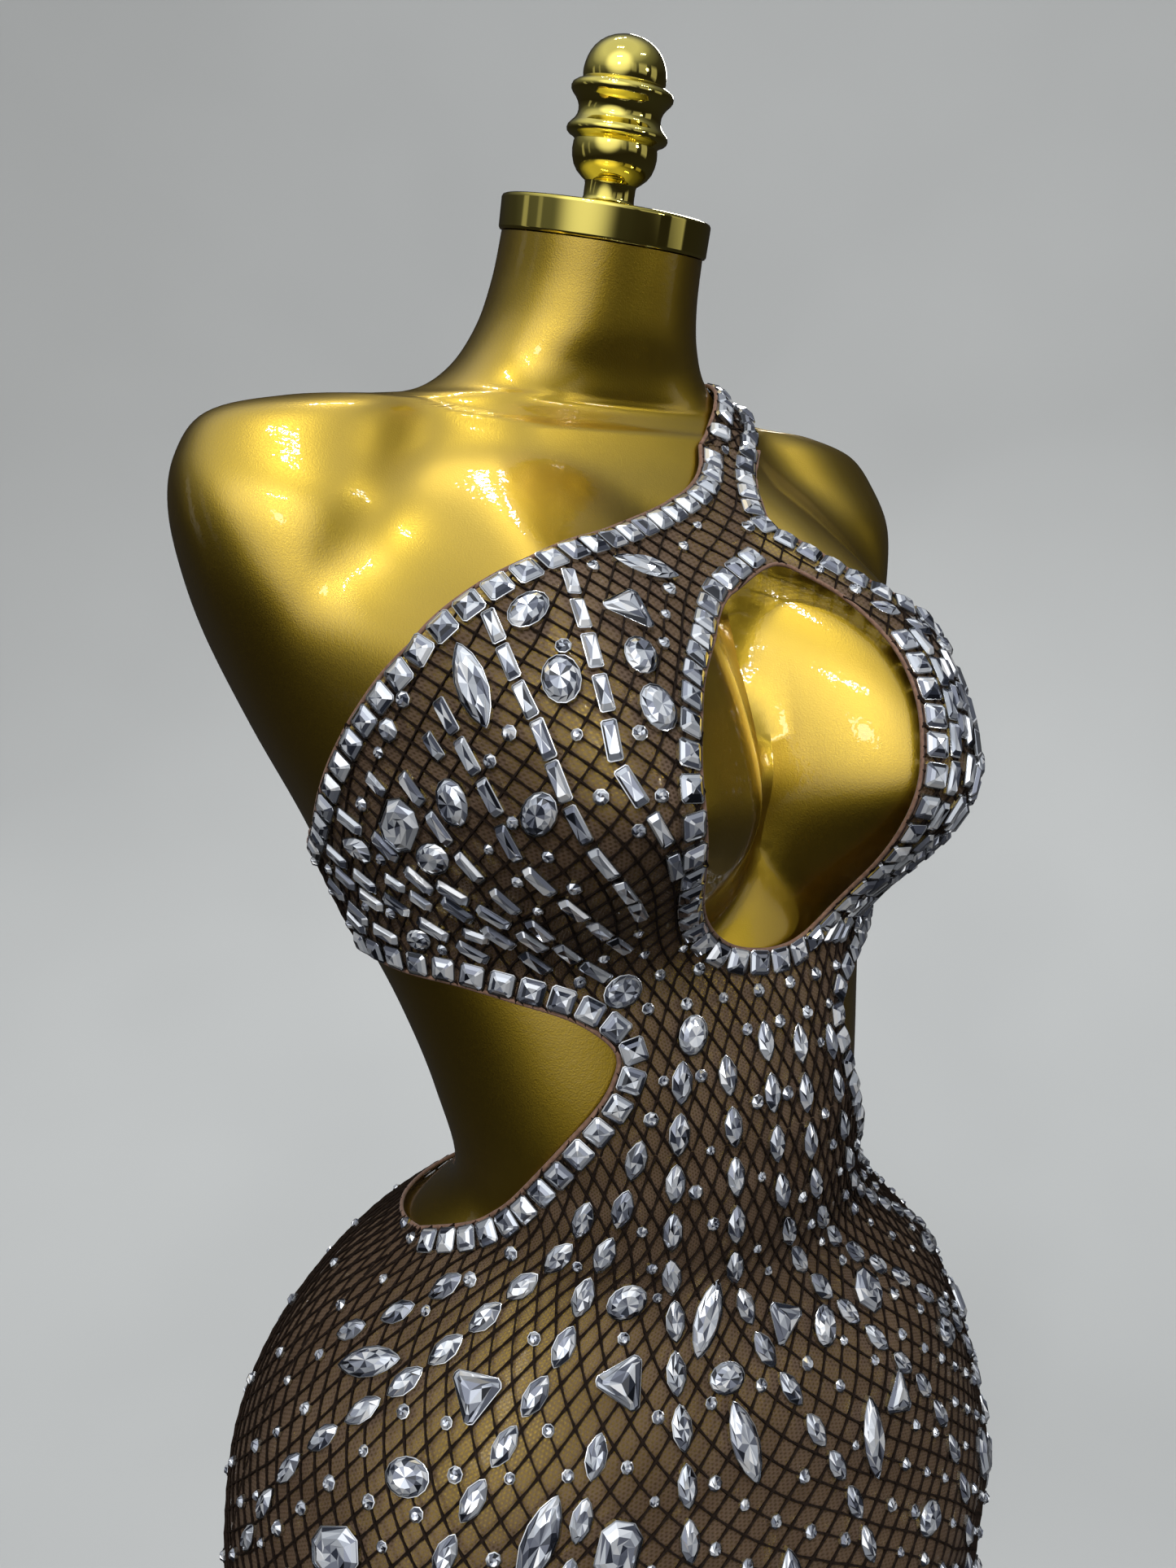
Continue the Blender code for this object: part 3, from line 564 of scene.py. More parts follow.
turnedShapes = {
    # each profile gives radius and height
    "neckCap": {
        "node": "neck_cap", "sides": 128, "onNeck": 0.0003,
        "profile": [(0.0464, 0), (0.0474, 0.0003), (0.0480, 0.0012), (0.0480, 0.0015), (0.0480, 0.0133),
                    (0.0480, 0.0136), (0.0475, 0.0146), (0.0466, 0.0150), (0.0300, 0.0150), (0.0140, 0.0150),
                    (0.0010, 0.0150)],
    },
    "finialKnob": {
        "node": "finial", "sides": 96, "onNeck": 0.0156,
        "profile": [(0.0130, 0), (0.0133, 0.0010), (0.0131, 0.0020), (0.0119, 0.0030), (0.0116, 0.0042),
                    (0.0116, 0.0092), (0.0119, 0.0103), (0.0138, 0.0117), (0.0160, 0.0136), (0.0178, 0.0162),
                    (0.0188, 0.0192), (0.0192, 0.0222), (0.0190, 0.0250), (0.0187, 0.0262), (0.0196, 0.0271),
                    (0.0214, 0.0279), (0.0225, 0.0289), (0.0228, 0.0301), (0.0224, 0.0314), (0.0211, 0.0328),
                    (0.0197, 0.0342), (0.0188, 0.0358), (0.0185, 0.0374), (0.0186, 0.0392), (0.0193, 0.0410),
                    (0.0206, 0.0428), (0.0219, 0.0441), (0.0227, 0.0453), (0.0228, 0.0466), (0.0222, 0.0479),
                    (0.0205, 0.0490), (0.0188, 0.0497), (0.0182, 0.0504), (0.0184, 0.0518), (0.0184, 0.0535),
                    (0.0181, 0.0556), (0.0174, 0.0580), (0.0163, 0.0604), (0.0148, 0.0626), (0.0128, 0.0646),
                    (0.0104, 0.0662), (0.0078, 0.0674), (0.0050, 0.0682), (0.0024, 0.0686), (0.0006, 0.0687)],
    },
    "underPlate": {
        "node": "under_plate", "sides": 96, "standsAt": 0.586,
        "profile": [(0.0240, 0), (0.0260, 0.0006), (0.0290, 0.0034), (0.0330, 0.0048), (0.0535, 0.0078),
                    (0.0548, 0.0086), (0.0550, 0.0096), (0.0550, 0.0110), (0.0540, 0.0126), (0.0520, 0.0137)],
    },
    "standPole": {
        "node": "pole", "sides": 64, "standsAt": 0.0143,
        "profile": [(0.0125, 0), (0.0125, 0.5714)],
    },
    "poleSocket": {
        "node": "pole_socket", "sides": 96, "standsAt": 0.0143,
        "profile": [(0.0400, 0), (0.0400, 0.0024), (0.0394, 0.0040), (0.0375, 0.0054), (0.0300, 0.0082),
                    (0.0245, 0.0116), (0.0218, 0.0150), (0.0211, 0.0180), (0.0210, 0.0540), (0.0206, 0.0562),
                    (0.0190, 0.0588), (0.0180, 0.0597), (0.0160, 0.0600), (0.0129, 0.0600)],
    },
    "baseDisc": {
        "node": "base_disc", "sides": 160, "standsAt": 0.0,
        "profile": [(0.2110, 0), (0.2120, 0.0008), (0.2120, 0.0036), (0.2114, 0.0050), (0.2092, 0.0060),
                    (0.1820, 0.0090), (0.1400, 0.0112), (0.0900, 0.0130), (0.0600, 0.0140), (0.0300, 0.0140)],
    },
}


def neckMatrix():
    height, _, _, _, centre, _, tilt = figure["sections"][-1]
    return Matrix.Translation((0, centre, height)) @ Matrix.Rotation(math.radians(tilt), 4, "X")


def makeTurned(name, shape):
    profile = shape["profile"]
    made = circlePiece(name, shape["sides"], profile[0][0])
    editAll(made)
    for low, high in zip(profile, profile[1:]):
        extrudeUp(high[1] - low[1])
        scaleAt(high[1], high[0] / low[0])
    closeOpenings("VERT")  # the underside, where the first face moved up
    faceOutwards()
    place = Matrix.Translation((0, 0, shape.get("standsAt", 0)))
    if "onNeck" in shape:
        place = neckMatrix() @ Matrix.Translation((0, 0, shape["onNeck"]))
    made.data.transform(place)
    smoothBy(made, 38)
    return finishPiece(made, looks["chrome"], [shape["node"]])


for name, shape in turnedShapes.items():
    makeTurned(name, shape)
print("turned metal made:", len(turnedShapes), "pieces")

# the cut of the dress: places are degrees round the figure and height

cut = {
    "neckline": [
        (-97, 1.160), (-74, 1.196), (-59, 1.223), (-49, 1.242), (-40, 1.259), (-30, 1.275),
        (-21, 1.285), (-12, 1.292), (-3.5, 1.302), (3, 1.315), (6.3, 1.325), (8.2, 1.334),
    ],
    "armhole": [
        (20.5, 1.334), (16.6, 1.325), (13.6, 1.316), (10.8, 1.304), (10.4, 1.296), (13.0, 1.2890),
        (18, 1.2765), (22.5, 1.267), (30, 1.256), (39, 1.244), (51, 1.225), (66, 1.200),
        (80, 1.179), (97, 1.160),
    ],
    "nearCutout": [
        (-97, 1.117), (-75, 1.115), (-61, 1.113), (-47, 1.106), (-39, 1.100), (-34, 1.092),
        (-32.5, 1.085), (-34.5, 1.077), (-39.5, 1.066), (-50, 1.049), (-64, 1.028), (-80, 1.004),
        (-97, 0.986),
    ],
    "farCutout": [
        (97, 1.117), (75, 1.115), (61, 1.113), (47, 1.106), (37, 1.100), (30, 1.092),
        (27.5, 1.084), (29, 1.074), (33.5, 1.058), (41, 1.040), (54, 1.020), (72, 1.000),
        (97, 0.986),
    ],
    "keyhole": [
        (7.0, 1.279), (0.5, 1.268), (-7, 1.247), (-14.5, 1.228), (-20, 1.206), (-21, 1.184),
        (-16.5, 1.157), (-7.5, 1.131), (1, 1.121), (10, 1.121), (16, 1.131), (18, 1.152),
        (17.5, 1.178), (18, 1.203), (18.2, 1.224), (16.8, 1.246), (14, 1.262), (11, 1.272),
    ],
    "backTop": [
        (97, 0.986), (120, 0.977), (150, 0.968), (180, 0.966), (210, 0.968), (240, 0.977), (263, 0.986),
    ],
    "strap": [
        (14.5, 1.334), (24, 1.348), (50, 1.3585), (90, 1.3625), (125, 1.356),
        (146, 1.336), (154, 1.300), (158, 1.250), (160, 1.200), (161, 1.160),
    ],
}
levels = {"hem": 0.640, "bandLow": 1.117, "bandTop": 1.160, "strapTop": 1.334}
cloth = {
    "lift": 0.0024, "thickness": 0.0005, "netLift": 0.0034, "stoneLift": 0.0034,
    "seamTurn": 97.0, "seamGap": 0.15, "turnAllowance": 3, "hemAllowance": 0.01,
    "columns": 112, "rows": 190, "backColumns": 90, "bandRows": 13,
}
paths = {name: smoothPath(places, name == "keyhole") for name, places in cut.items()}
seamTurn = math.radians(cloth["seamTurn"] + cloth["seamGap"])


def frontOutline():
    hem = np.radians([[cloth["seamTurn"]], [-cloth["seamTurn"]]]) * [1, 0] + [0, levels["hem"]]
    sides = paths["farCutout"], hem, paths["nearCutout"][::-1]
    return np.concatenate([paths["neckline"], paths["armhole"], *sides])


def flatCutter(name, path, reach=0.01):
    made = circlePiece(name, len(path))
    x = path[:, 0] * figure["flatRadius"]
    setPoints(made, np.column_stack([x, path[:, 1], np.full(len(path), -reach)]))
    editAll(made, "FACE")
    extrudeUp(2 * reach)
    closeOpenings()
    faceOutwards()
    return made


def thicken(piece):
    editAll(piece, "FACE")
    extrudeUp(cloth["thickness"])
    faceOutwards()


def cutWith(piece, cutter, operation):
    step = piece.modifiers.new(cutter.name, "BOOLEAN")
    step.operation, step.solver, step.object = operation, "EXACT", cutter
    applyModifiers(piece)
    bpy.data.objects.remove(cutter, do_unlink=True)


def keepPattern(piece, flat):
    # the flat pattern becomes the piece's own map
    corners = np.empty(len(piece.data.loops), int)
    piece.data.loops.foreach_get("vertex_index", corners)
    for layer in list(piece.data.uv_layers):
        piece.data.uv_layers.remove(layer)
    layer = piece.data.uv_layers.new(name="flatPattern")
    layer.data.foreach_set("uv", flat[corners, :2].astype(np.float32).ravel())


def wearIt(piece, node):
    # the pattern's points go to their places on the figure
    flat = getPoints(piece)
    keepPattern(piece, flat)
    setPoints(piece, onCloth(flat[:, 0] / figure["flatRadius"], flat[:, 1], cloth["lift"] + flat[:, 2]))
    smoothBy(piece, 60)
    return finishPiece(piece, looks["mesh"], [node])


def makeFront():
    wide = cloth["seamTurn"] + cloth["turnAllowance"]
    low, high = levels["hem"] - cloth["hemAllowance"], levels["strapTop"] + cloth["hemAllowance"]
    made, flat = gridPiece("meshFront", cloth["columns"], cloth["rows"])
    x = np.radians((flat[:, 0] + 0.5) * 2 * wide - wide) * figure["flatRadius"]
    setPoints(made, np.column_stack([x, low + (flat[:, 1] + 0.5) * (high - low), np.zeros(len(flat))]))
    thicken(made)
    cutWith(made, flatCutter("outlineCutter", frontOutline()), "INTERSECT")
    cutWith(made, flatCutter("keyholeCutter", paths["keyhole"]), "DIFFERENCE")
    editAll(made, "FACE")
    bpy.ops.mesh.quads_convert_to_tris()
    endEdit()
    return wearIt(made, "dress_front")


front = makeFront()
print("front cut and worn:", len(front.data.polygons), "faces")


def backTopAt(turns):
    return np.interp(turns, paths["backTop"][:, 0], paths["backTop"][:, 1])


def backSheet(name, heights, node):
    # a sheet from seam to seam behind, with a row of heights for each of its rows
    rows, columns = heights.shape
    made, flat = gridPiece(name, columns - 1, rows - 1)
    i = np.rint((flat[:, 1] + 0.5) * (rows - 1)).astype(int)
    j = np.rint((flat[:, 0] + 0.5) * (columns - 1)).astype(int)
    x = backTurns[j] * figure["flatRadius"]
    setPoints(made, np.column_stack([x, heights[i, j], np.zeros(len(flat))]))
    thicken(made)
    return wearIt(made, node)


backTurns = np.linspace(seamTurn, 2 * math.pi - seamTurn, cloth["backColumns"])
shares = np.linspace(0, 1, cloth["backColumns"])[:, None]
skirtHeights = levels["hem"] + (backTopAt(backTurns) - levels["hem"]) * shares
backSkirt = backSheet("meshBackSkirt", skirtHeights, "dress_back_skirt")
bandRows = np.linspace(levels["bandLow"], levels["bandTop"], cloth["bandRows"])
backBand = backSheet("meshBackBand", bandRows[:, None] + np.zeros(cloth["backColumns"]), "back_band")

# the strap lies on the bare form over the shoulder, so it is measured along the form itself

strapSheet = {
    "width": 0.028, "rows": 130, "columns": 8, "lift": 0.0026, "seam": (20.5, 8.2), "seamLift": 0.0003,
    "joinLength": 0.014, "start": 0.0001, "end": 0.0005,
    "points": 300, "pulls": 360, "pullsToForm": 12, "evening": 12,
}
formTree = BVHTree.FromObject(form, bpy.context.evaluated_depsgraph_get())


def onForm(points, lift):
    # nearest places on the form, lifted off it, and the form's directions there
    found = [formTree.find_nearest(Vector(point)) for point in points]
    normals = np.array([hit[1][:] for hit in found])
    return np.array([hit[0][:] for hit in found]) + normals * np.reshape(lift, (-1, 1)), normals


def strapCentre():
    line = onCloth(paths["strap"][:, 0], paths["strap"][:, 1], strapSheet["lift"])
    run = np.concatenate([[0], np.cumsum(np.linalg.norm(np.diff(line, axis=0), axis=1))])
    even = np.linspace(0, run[-1], strapSheet["points"])
    line = readRows(even, run, line)
    first = line.copy()
    for turn in range(1, strapSheet["pulls"] + 1):  # pulled straighter, as a taut strap lies
        line[1:-1] += (line[:-2] + line[2:] - 2 * line[1:-1]) * 0.5
        if turn % strapSheet["pullsToForm"] == 0:
            line, normals = onForm(line, strapSheet["lift"])
    moved = float(np.linalg.norm(line - first, axis=1).max())
    print("strap pulled straight by up to", round(moved * 1000, 1), "mm")
    for _ in range(strapSheet["evening"]):  # evens out the form's facets
        normals[1:-1] = unit(normals[:-2] + normals[1:-1] * 2 + normals[2:])
    forward = unit(np.gradient(line, axis=0))
    return even, line, unit(np.cross(normals, forward)), forward


strapRun, strapLine, strapLeft, strapForward = strapCentre()


def strapPlace(distances, offsets, lifts):
    # places on the strap; the first few rows turn to meet the seam at the top of the front
    middle, left = (readRows(distances, strapRun, rows) for rows in (strapLine, strapLeft))
    points, _ = onForm(middle + unit(left) * offsets[:, None], lifts)
    low, high = np.radians(strapSheet["seam"])
    share = 0.5 + offsets / strapSheet["width"]
    seamHeights = np.full(len(share), levels["strapTop"] + strapSheet["seamLift"])
    seam = onCloth(low + (high - low) * share, seamHeights, lifts)
    blend = np.clip(1 - distances / strapSheet["joinLength"], 0, 1)[:, None]
    return points + (seam - points) * blend**2 * (3 - 2 * blend)


def makeStrap():
    start, end = strapSheet["start"], strapRun[-1] - strapSheet["end"]
    made, flat = gridPiece("meshStrap", strapSheet["columns"], strapSheet["rows"])
    down = (flat[:, 1] + 0.5) * (end - start) + start
    setPoints(made, np.column_stack([flat[:, 0] * strapSheet["width"], down, flat[:, 2]]))
    thicken(made)
    flat = getPoints(made)
    keepPattern(made, flat)
    setPoints(made, strapPlace(flat[:, 1], -flat[:, 0], strapSheet["lift"] + flat[:, 2]))
    smoothBy(made, 60)
    return finishPiece(made, looks["mesh"], ["shoulder_strap"])


strap = makeStrap()
print("back skirt, band and strap worn")

# the fishnet: two ways of cords whose cells narrow at the waist and widen over the hips

net = {
    "around": 84, "side": 0.0086, "radius": 0.00056, "knot": 1.45, "slack": 0.92, "step": 0.0625,
    # height and cell side: the net is less stretched on the bodice
    "stretched": (1.03, 0.0086), "relaxed": (1.29, 0.0061),
    # the figure is measured from one height to another, at so many heights and turns
    "measured": (0.60, 1.38, 300), "columns": 181, "flattest": 0.55,
    "parting": 1.045,  # where the bodice's net gives way to the skirt's
    "strapCells": 4, "strapCell": 0.0088, "strapCord": 0.84,
    "strapEnd": 0.001, "strapLift": 0.0001, "strapInset": 0.98,
}
cellTurn = 2 * math.pi / net["around"]


def cellSide(heights):
    (low, wide), (high, small) = net["stretched"], net["relaxed"]
    return np.interp(heights, (low, high), (wide, small))


def latticeRise():
    # how many rows of cells lie below each height
    heights = np.linspace(*net["measured"])
    turns = np.linspace(0, 2 * math.pi, net["columns"])
    rings = figurePoint(np.tile(turns, (len(heights), 1)), np.tile(heights[:, None], (1, len(turns))))
    girth = np.linalg.norm(np.diff(rings, axis=1), axis=2).sum(1)
    side = cellSide(heights)
    halfWidth = girth / net["around"] / 2 * side / net["side"]
    tall = 2 * np.sqrt(np.maximum(side**2 - halfWidth**2, (net["flattest"] * side) ** 2))
    return heights, np.concatenate([[0], np.cumsum(np.diff(heights) * 2 / (tall[1:] + tall[:-1]))])


netHeights, netRises = latticeRise()


def insideLoop(points, loop):
    # even-odd test on the flat pattern
    x, y = points[:, 0], points[:, 1]
    inside = np.zeros(len(points), bool)
    for (ax, ay), (bx, by) in zip(loop, np.roll(loop, -1, axis=0)):
        if ay != by:
            inside ^= ((ay > y) != (by > y)) & (x < ax + (y - ay) / (by - ay) * (bx - ax))
    return inside


def onFront(points):
    return insideLoop(points, frontOutline()) & ~insideLoop(points, paths["keyhole"])


def onBodice(points):
    return onFront(points) & (points[:, 1] >= net["parting"])


def onFrontSkirt(points):
    return onFront(points) & (points[:, 1] < net["parting"])


def betweenSeams(points, low, top):
    turns, heights = points.T
    return (turns > seamTurn) & (turns < 2 * math.pi - seamTurn) & (heights > low) & (heights < top)


def onBackSkirt(points):
    return betweenSeams(points, levels["hem"], backTopAt(points[:, 0]))


def onBackBand(points):
    return betweenSeams(points, levels["bandLow"], levels["bandTop"])


def netLines(turns, heights, middle):
    # every cord of the net as places on the figure
    lowest, highest = np.interp(heights, netHeights, netRises)
    rises = np.arange(math.ceil(lowest), highest, net["step"])
    netHigh = np.interp(rises, netRises, netHeights)
    cellTurns = cellTurn * cellSide(netHigh) / net["side"]
    low, high = ((turn - middle) / cellTurns[-1] for turn in turns)
    lines = []
    for way in (-1, 1):
        ends = sorted((way * rises[0], way * rises[-1]))
        for number in range(math.floor(low - ends[1]), math.ceil(high - ends[0]) + 1):
            lines.append(np.stack([middle + (number + way * rises) * cellTurns, netHigh], -1))
    return lines


def makeNet(name, turns, heights, onPiece, middle=0.0):
    # the cords are cut where the piece ends, and are thicker at each knot
    lines = netLines(turns, heights, middle)
    inside = onPiece(np.concatenate(lines)).reshape(len(lines), -1)
    perSide = round(0.5 / net["step"])
    runs, sizes = [], []
    for line, mask in zip(lines, inside):
        marks = np.flatnonzero(np.diff(np.concatenate([[False], mask, [False]]).astype(int)))
        for first, last in zip(marks[::2], marks[1::2]):
            picked = [k for k in range(first, last) if k in (first, last - 1) or k % (perSide // 2) == 0]
            if len(picked) > 2:
                runs.append(onCloth(line[picked, 0], line[picked, 1], cloth["netLift"]))
                thin = np.sqrt(cellSide(line[picked, 1]) / net["side"])
                sizes.append(thin * [net["knot"] if k % perSide == 0 else net["slack"] for k in picked])
    return finishPiece(tubePiece(name, runs, net["radius"], radii=sizes), looks["net"])


frontTurns, behindTurns = (-seamTurn, seamTurn), (seamTurn, 2 * math.pi - seamTurn)
netUpper = makeNet("fishnetBodice", frontTurns, (1.03, 1.345), onBodice)
netLower = makeNet("fishnetSkirt", frontTurns, (0.63, 1.06), onFrontSkirt)
netBack = makeNet("fishnetBack", behindTurns, (0.63, 1.0), onBackSkirt)
netBand = makeNet("fishnetBand", behindTurns, (1.10, 1.17), onBackBand, math.pi)


def strapNet():
    cells, tall, end = net["strapCells"], net["strapCell"], net["strapEnd"]
    wide = strapSheet["width"] / cells
    steps = np.arange(4 * cells + 1)
    runs, sizes = [], []
    for way in (-1, 1):
        for start in np.arange(-cells * tall, strapRun[-1], tall):
            distances, offsets = start + steps * tall / 4, way * (steps * wide / 4 - strapSheet["width"] / 2)
            kept = (distances > end) & (distances < strapRun[-1] - end)
            if kept.sum() > 2:
                lift = np.full(kept.sum(), cloth["netLift"] + net["strapLift"])
                runs.append(strapPlace(distances[kept], offsets[kept] * net["strapInset"], lift))
                sizes.append(np.where(steps % 2 == 0, net["knot"], net["slack"])[kept] * net["strapCord"])
    return finishPiece(tubePiece("fishnetStrap", runs, net["radius"], radii=sizes), looks["net"])


netStrap = strapNet()
print("fishnet:", [len(piece.data.polygons) for piece in (netUpper, netLower, netBack, netBand)], "faces")

# rolled edges and seams

rolls = {
    "radius": 0.0010, "inset": 0.0005, "lift": 0.0028, "steps": 2, "spacing": 0.003,
    "hemRise": 0.001, "hemPoints": 240, "strapAside": 0.0134, "strapPoints": 110, "strapEnds": (0.0005, 0.001),
    "ringSize": 0.9, "seamSize": 0.6, "seamAside": 0.075, "seamPoints": 60, "seamEnd": 0.001,
}


def rollAlong(path, inset=0.0):
    path = sideways(path, inset) if inset else path
    length = runLengths(path)[-1]
    path = alongPath(path, np.linspace(0, length, max(3, int(length / rolls["spacing"]))))
    return onCloth(path[:, 0], path[:, 1], rolls["lift"])


def seamRoll(turn, low, high):
    count = rolls["seamPoints"]
    return rollAlong(np.stack([np.full(count, math.radians(turn)), np.linspace(low, high, count)], -1))


def makeRolls():
    inset, count = rolls["inset"], rolls["strapPoints"]
    hem = np.linspace(-seamTurn, 2 * math.pi - seamTurn, rolls["hemPoints"])
    hem = np.stack([hem, np.full(len(hem), levels["hem"] + rolls["hemRise"])], -1)
    bandEdges = (np.full_like(backTurns, levels[edge]) for edge in ("bandLow", "bandTop"))
    low, top = (np.stack([backTurns, heights], -1) for heights in bandEdges)
    down = np.linspace(rolls["strapEnds"][0], strapRun[-1] - rolls["strapEnds"][1], count)
    runs = [
        rollAlong(paths["neckline"], -inset), rollAlong(paths["armhole"], -inset),
        rollAlong(paths["nearCutout"], inset), rollAlong(paths["farCutout"][::-1], inset),
        rollAlong(paths["backTop"], -inset), rollAlong(low, inset), rollAlong(top, -inset),
        *(strapPlace(down, np.full(count, aside), np.full(count, rolls["lift"]))
          for aside in (rolls["strapAside"], -rolls["strapAside"])),
        rollAlong(hem),
    ]
    edges = tubePiece("rolledEdges", runs, rolls["radius"], bevelSteps=rolls["steps"])
    seams = []
    for turn in (cloth["seamTurn"] + rolls["seamAside"], -cloth["seamTurn"] - rolls["seamAside"]):
        seams.append(seamRoll(turn, levels["hem"], paths["backTop"][0, 1] - rolls["seamEnd"]))
        seams.append(seamRoll(turn, levels["bandLow"], levels["bandTop"]))
    sides = tubePiece("sideSeams", seams, rolls["radius"] * rolls["seamSize"], bevelSteps=1)
    keyhole = rollAlong(paths["keyhole"], -inset)[:-1]
    ring = tubePiece("keyholeEdge", [keyhole], rolls["radius"] * rolls["ringSize"], True, rolls["steps"])
    finishPiece(sides, looks["net"])
    for piece in (edges, ring):
        finishPiece(piece, looks["roll"])


makeRolls()
print("rolled edges made")

# the stones: each cut is modelled once, with a metal setting of its own

cutColumns = ("outline", "points", "corner", "size", "tall", "sectors", "crown")
stoneCuts = {
    # outline, points round it, corner, half length and width, height, sectors of facets, then the
    # crown's steps: share across, share of height, and 1 where the step is turned by half a point
    "square": ("box", 8, 0.14, (0.0051, 0.0051), 0.0034, 4, [(0.94, 0.42, 0), (0.7, 0.72, 0), (0.42, 1.0, 0)]),
    "cushion": ("box", 8, 0.34, (0.0043, 0.0039), 0.0031, 8, [(0.92, 0.42, 0), (0.58, 1.0, 1)]),
    "baguette": ("box", 8, 0.16, (0.0072, 0.0026), 0.0027, 4, [(0.93, 0.45, 0), (0.70, 1.0, 0)]),
    "slimBaguette": ("box", 8, 0.14, (0.0056, 0.0023), 0.0027, 4, [(0.93, 0.45, 0), (0.66, 1.0, 0)]),
    "navette": ("lens", 10, 0, (0.0087, 0.0044), 0.0031, 10, [(0.93, 0.38, 0), (0.56, 1.0, 1)]),
    "largeNavette": ("lens", 14, 0, (0.0180, 0.0068), 0.0048, 14,
                     [(0.95, 0.32, 0), (0.78, 0.66, 1), (0.52, 1.0, 0)]),
    "oval": ("oval", 14, 0, (0.0092, 0.0070), 0.0045, 14, [(0.95, 0.32, 0), (0.80, 0.68, 1), (0.54, 1.0, 0)]),
    "octagon": ("box", 8, 0.34, (0.0116, 0.0092), 0.0046, 8,
                [(0.94, 0.32, 0), (0.80, 0.64, 0), (0.60, 1.0, 0), (0.34, 0.96, 1)]),
    "triangle": ("triangle", 9, 0, (0.0112, 0.0112), 0.0046, 9,
                 [(0.94, 0.32, 0), (0.72, 0.70, 1), (0.44, 1.0, 0)]),
    "pear": ("drop", 12, 0, (0.0087, 0.0054), 0.0038, 12, [(0.94, 0.36, 0), (0.54, 1.0, 1)]),
    "round": ("oval", 8, 0, (0.0026, 0.0026), 0.0023, 8, [(0.94, 0.36, 0), (0.56, 1.0, 1)]),
}
stoneCuts = {name: dict(zip(cutColumns, row)) for name, row in stoneCuts.items()}
outlines = {
    "lensPower": 0.8, "dropWide": 0.86, "dropTaper": 0.5, "cornerCut": 1.6,
    "corners": (90, 210, 330), "cornerAside": (-0.17, 0, 0.17), "cornerReach": (0.97, 1.02, 0.97), "down": 0.22,
}
facets = {"girdle": 0.12, "table": -0.05, "turnedReach": 1.03, "slope": 0.2}
settings = {"foot": -0.0004, "wall": 0.00022, "lip": -0.00012, "lipRise": 0.0001, "rise": 0.36}


def stoneOutline(shape):
    spread = np.arange(shape["points"]) * 2 * math.pi / shape["points"]
    x, y = np.cos(spread), np.sin(spread)
    if shape["outline"] == "lens":
        y = np.sign(np.round(y, 6)) * (1 - x**2) ** outlines["lensPower"]
    elif shape["outline"] == "drop":
        y = y * (outlines["dropWide"] - outlines["dropTaper"] * x)
        y = y / y.max()
    elif shape["outline"] == "triangle":
        corner = np.radians(np.repeat(outlines["corners"], 3))
        aside, reach = (np.tile(outlines[part], 3) for part in ("cornerAside", "cornerReach"))
        x = np.cos(corner) * reach - np.sin(corner) * aside
        y = np.sin(corner) * reach + np.cos(corner) * aside - outlines["down"]
    elif shape["outline"] == "box":
        cutOff = outlines["cornerCut"] * shape["corner"] * min(shape["size"])
        a, b = (1 - cutOff / half for half in shape["size"])
        x = np.array([1, a, -a, -1, -1, -a, a, 1])
        y = np.array([b, 1, 1, b, -b, -1, -1, -b])
    return x * shape["size"][0], y * shape["size"][1]


def outlineRing(name, x, y, fill):
    made = circlePiece(name, len(x), fill=fill)
    setPoints(made, np.column_stack([x, y, np.zeros(len(x))]))
    return made


def readModel(piece):
    # points, faces and the faces' middles; then the model is put away
    points = getPoints(piece)
    corners = [tuple(face.vertices) for face in piece.data.polygons]
    starts = [face.index(min(face)) for face in corners]
    # sorted, because edit mode leaves them in another order each run, and the tones go by their order
    faces = sorted(face[start:] + face[:start] for face, start in zip(corners, starts))
    middles = np.array([points[list(face)].mean(axis=0) for face in faces])
    bpy.data.objects.remove(piece, do_unlink=True)
    return points, faces, middles


def turnSteps(gem, shape, x, y):
    # a turned step has its corners over the middles of the outline's sides
    points = getPoints(gem)
    outline = np.column_stack([x, y])[np.argsort(np.arctan2(y, x))]
    for share, height, turned in shape["crown"]:
        level = np.abs(points[:, 2] - height * shape["tall"]) < 1e-7
        ring = np.flatnonzero(level & (np.hypot(points[:, 0], points[:, 1]) > 1e-5))
        if turned:
            ring = ring[np.argsort(np.arctan2(points[ring, 1], points[ring, 0]))]
            points[ring, :2] = (outline + np.roll(outline, -1, axis=0)) / 2 * share * facets["turnedReach"]
    setPoints(gem, points)


def modelGem(name, shape):
    x, y = stoneOutline(shape)
    gem = outlineRing(name, x, y, "NGON")
    editAll(gem, "FACE")
    across, rise, tall = 1.0, 0.0, shape["tall"]
    girdle = [] if name == "round" else [(1.0, facets["girdle"], 0)]
    for share, height, _ in girdle + shape["crown"]:
        extrudeUp((height - rise) * tall)
        scaleAt(height * tall, share / across)
        across, rise = share, height
    bpy.ops.mesh.poke(offset=facets["table"] * tall)  # the table's own fan of facets
    closeOpenings()
    endEdit()
    turnSteps(gem, shape, x, y)
    selectNone(gem, "FACE")
    hasTurned = any(step[2] for step in shape["crown"])
    for face in gem.data.polygons:
        face.select = face.normal.z > facets["slope"] and len(face.vertices) == 4 and hasTurned
    bpy.ops.object.mode_set(mode="EDIT")
    bpy.ops.mesh.quads_convert_to_tris(quad_method="FIXED")
    faceOutwards()
    points, faces, middles = readModel(gem)
    bearings = np.arctan2(middles[:, 1] / shape["size"][1], middles[:, 0] / shape["size"][0]) / (2 * math.pi)
    return points, faces, np.round(bearings * shape["sectors"]).astype(int) % shape["sectors"]


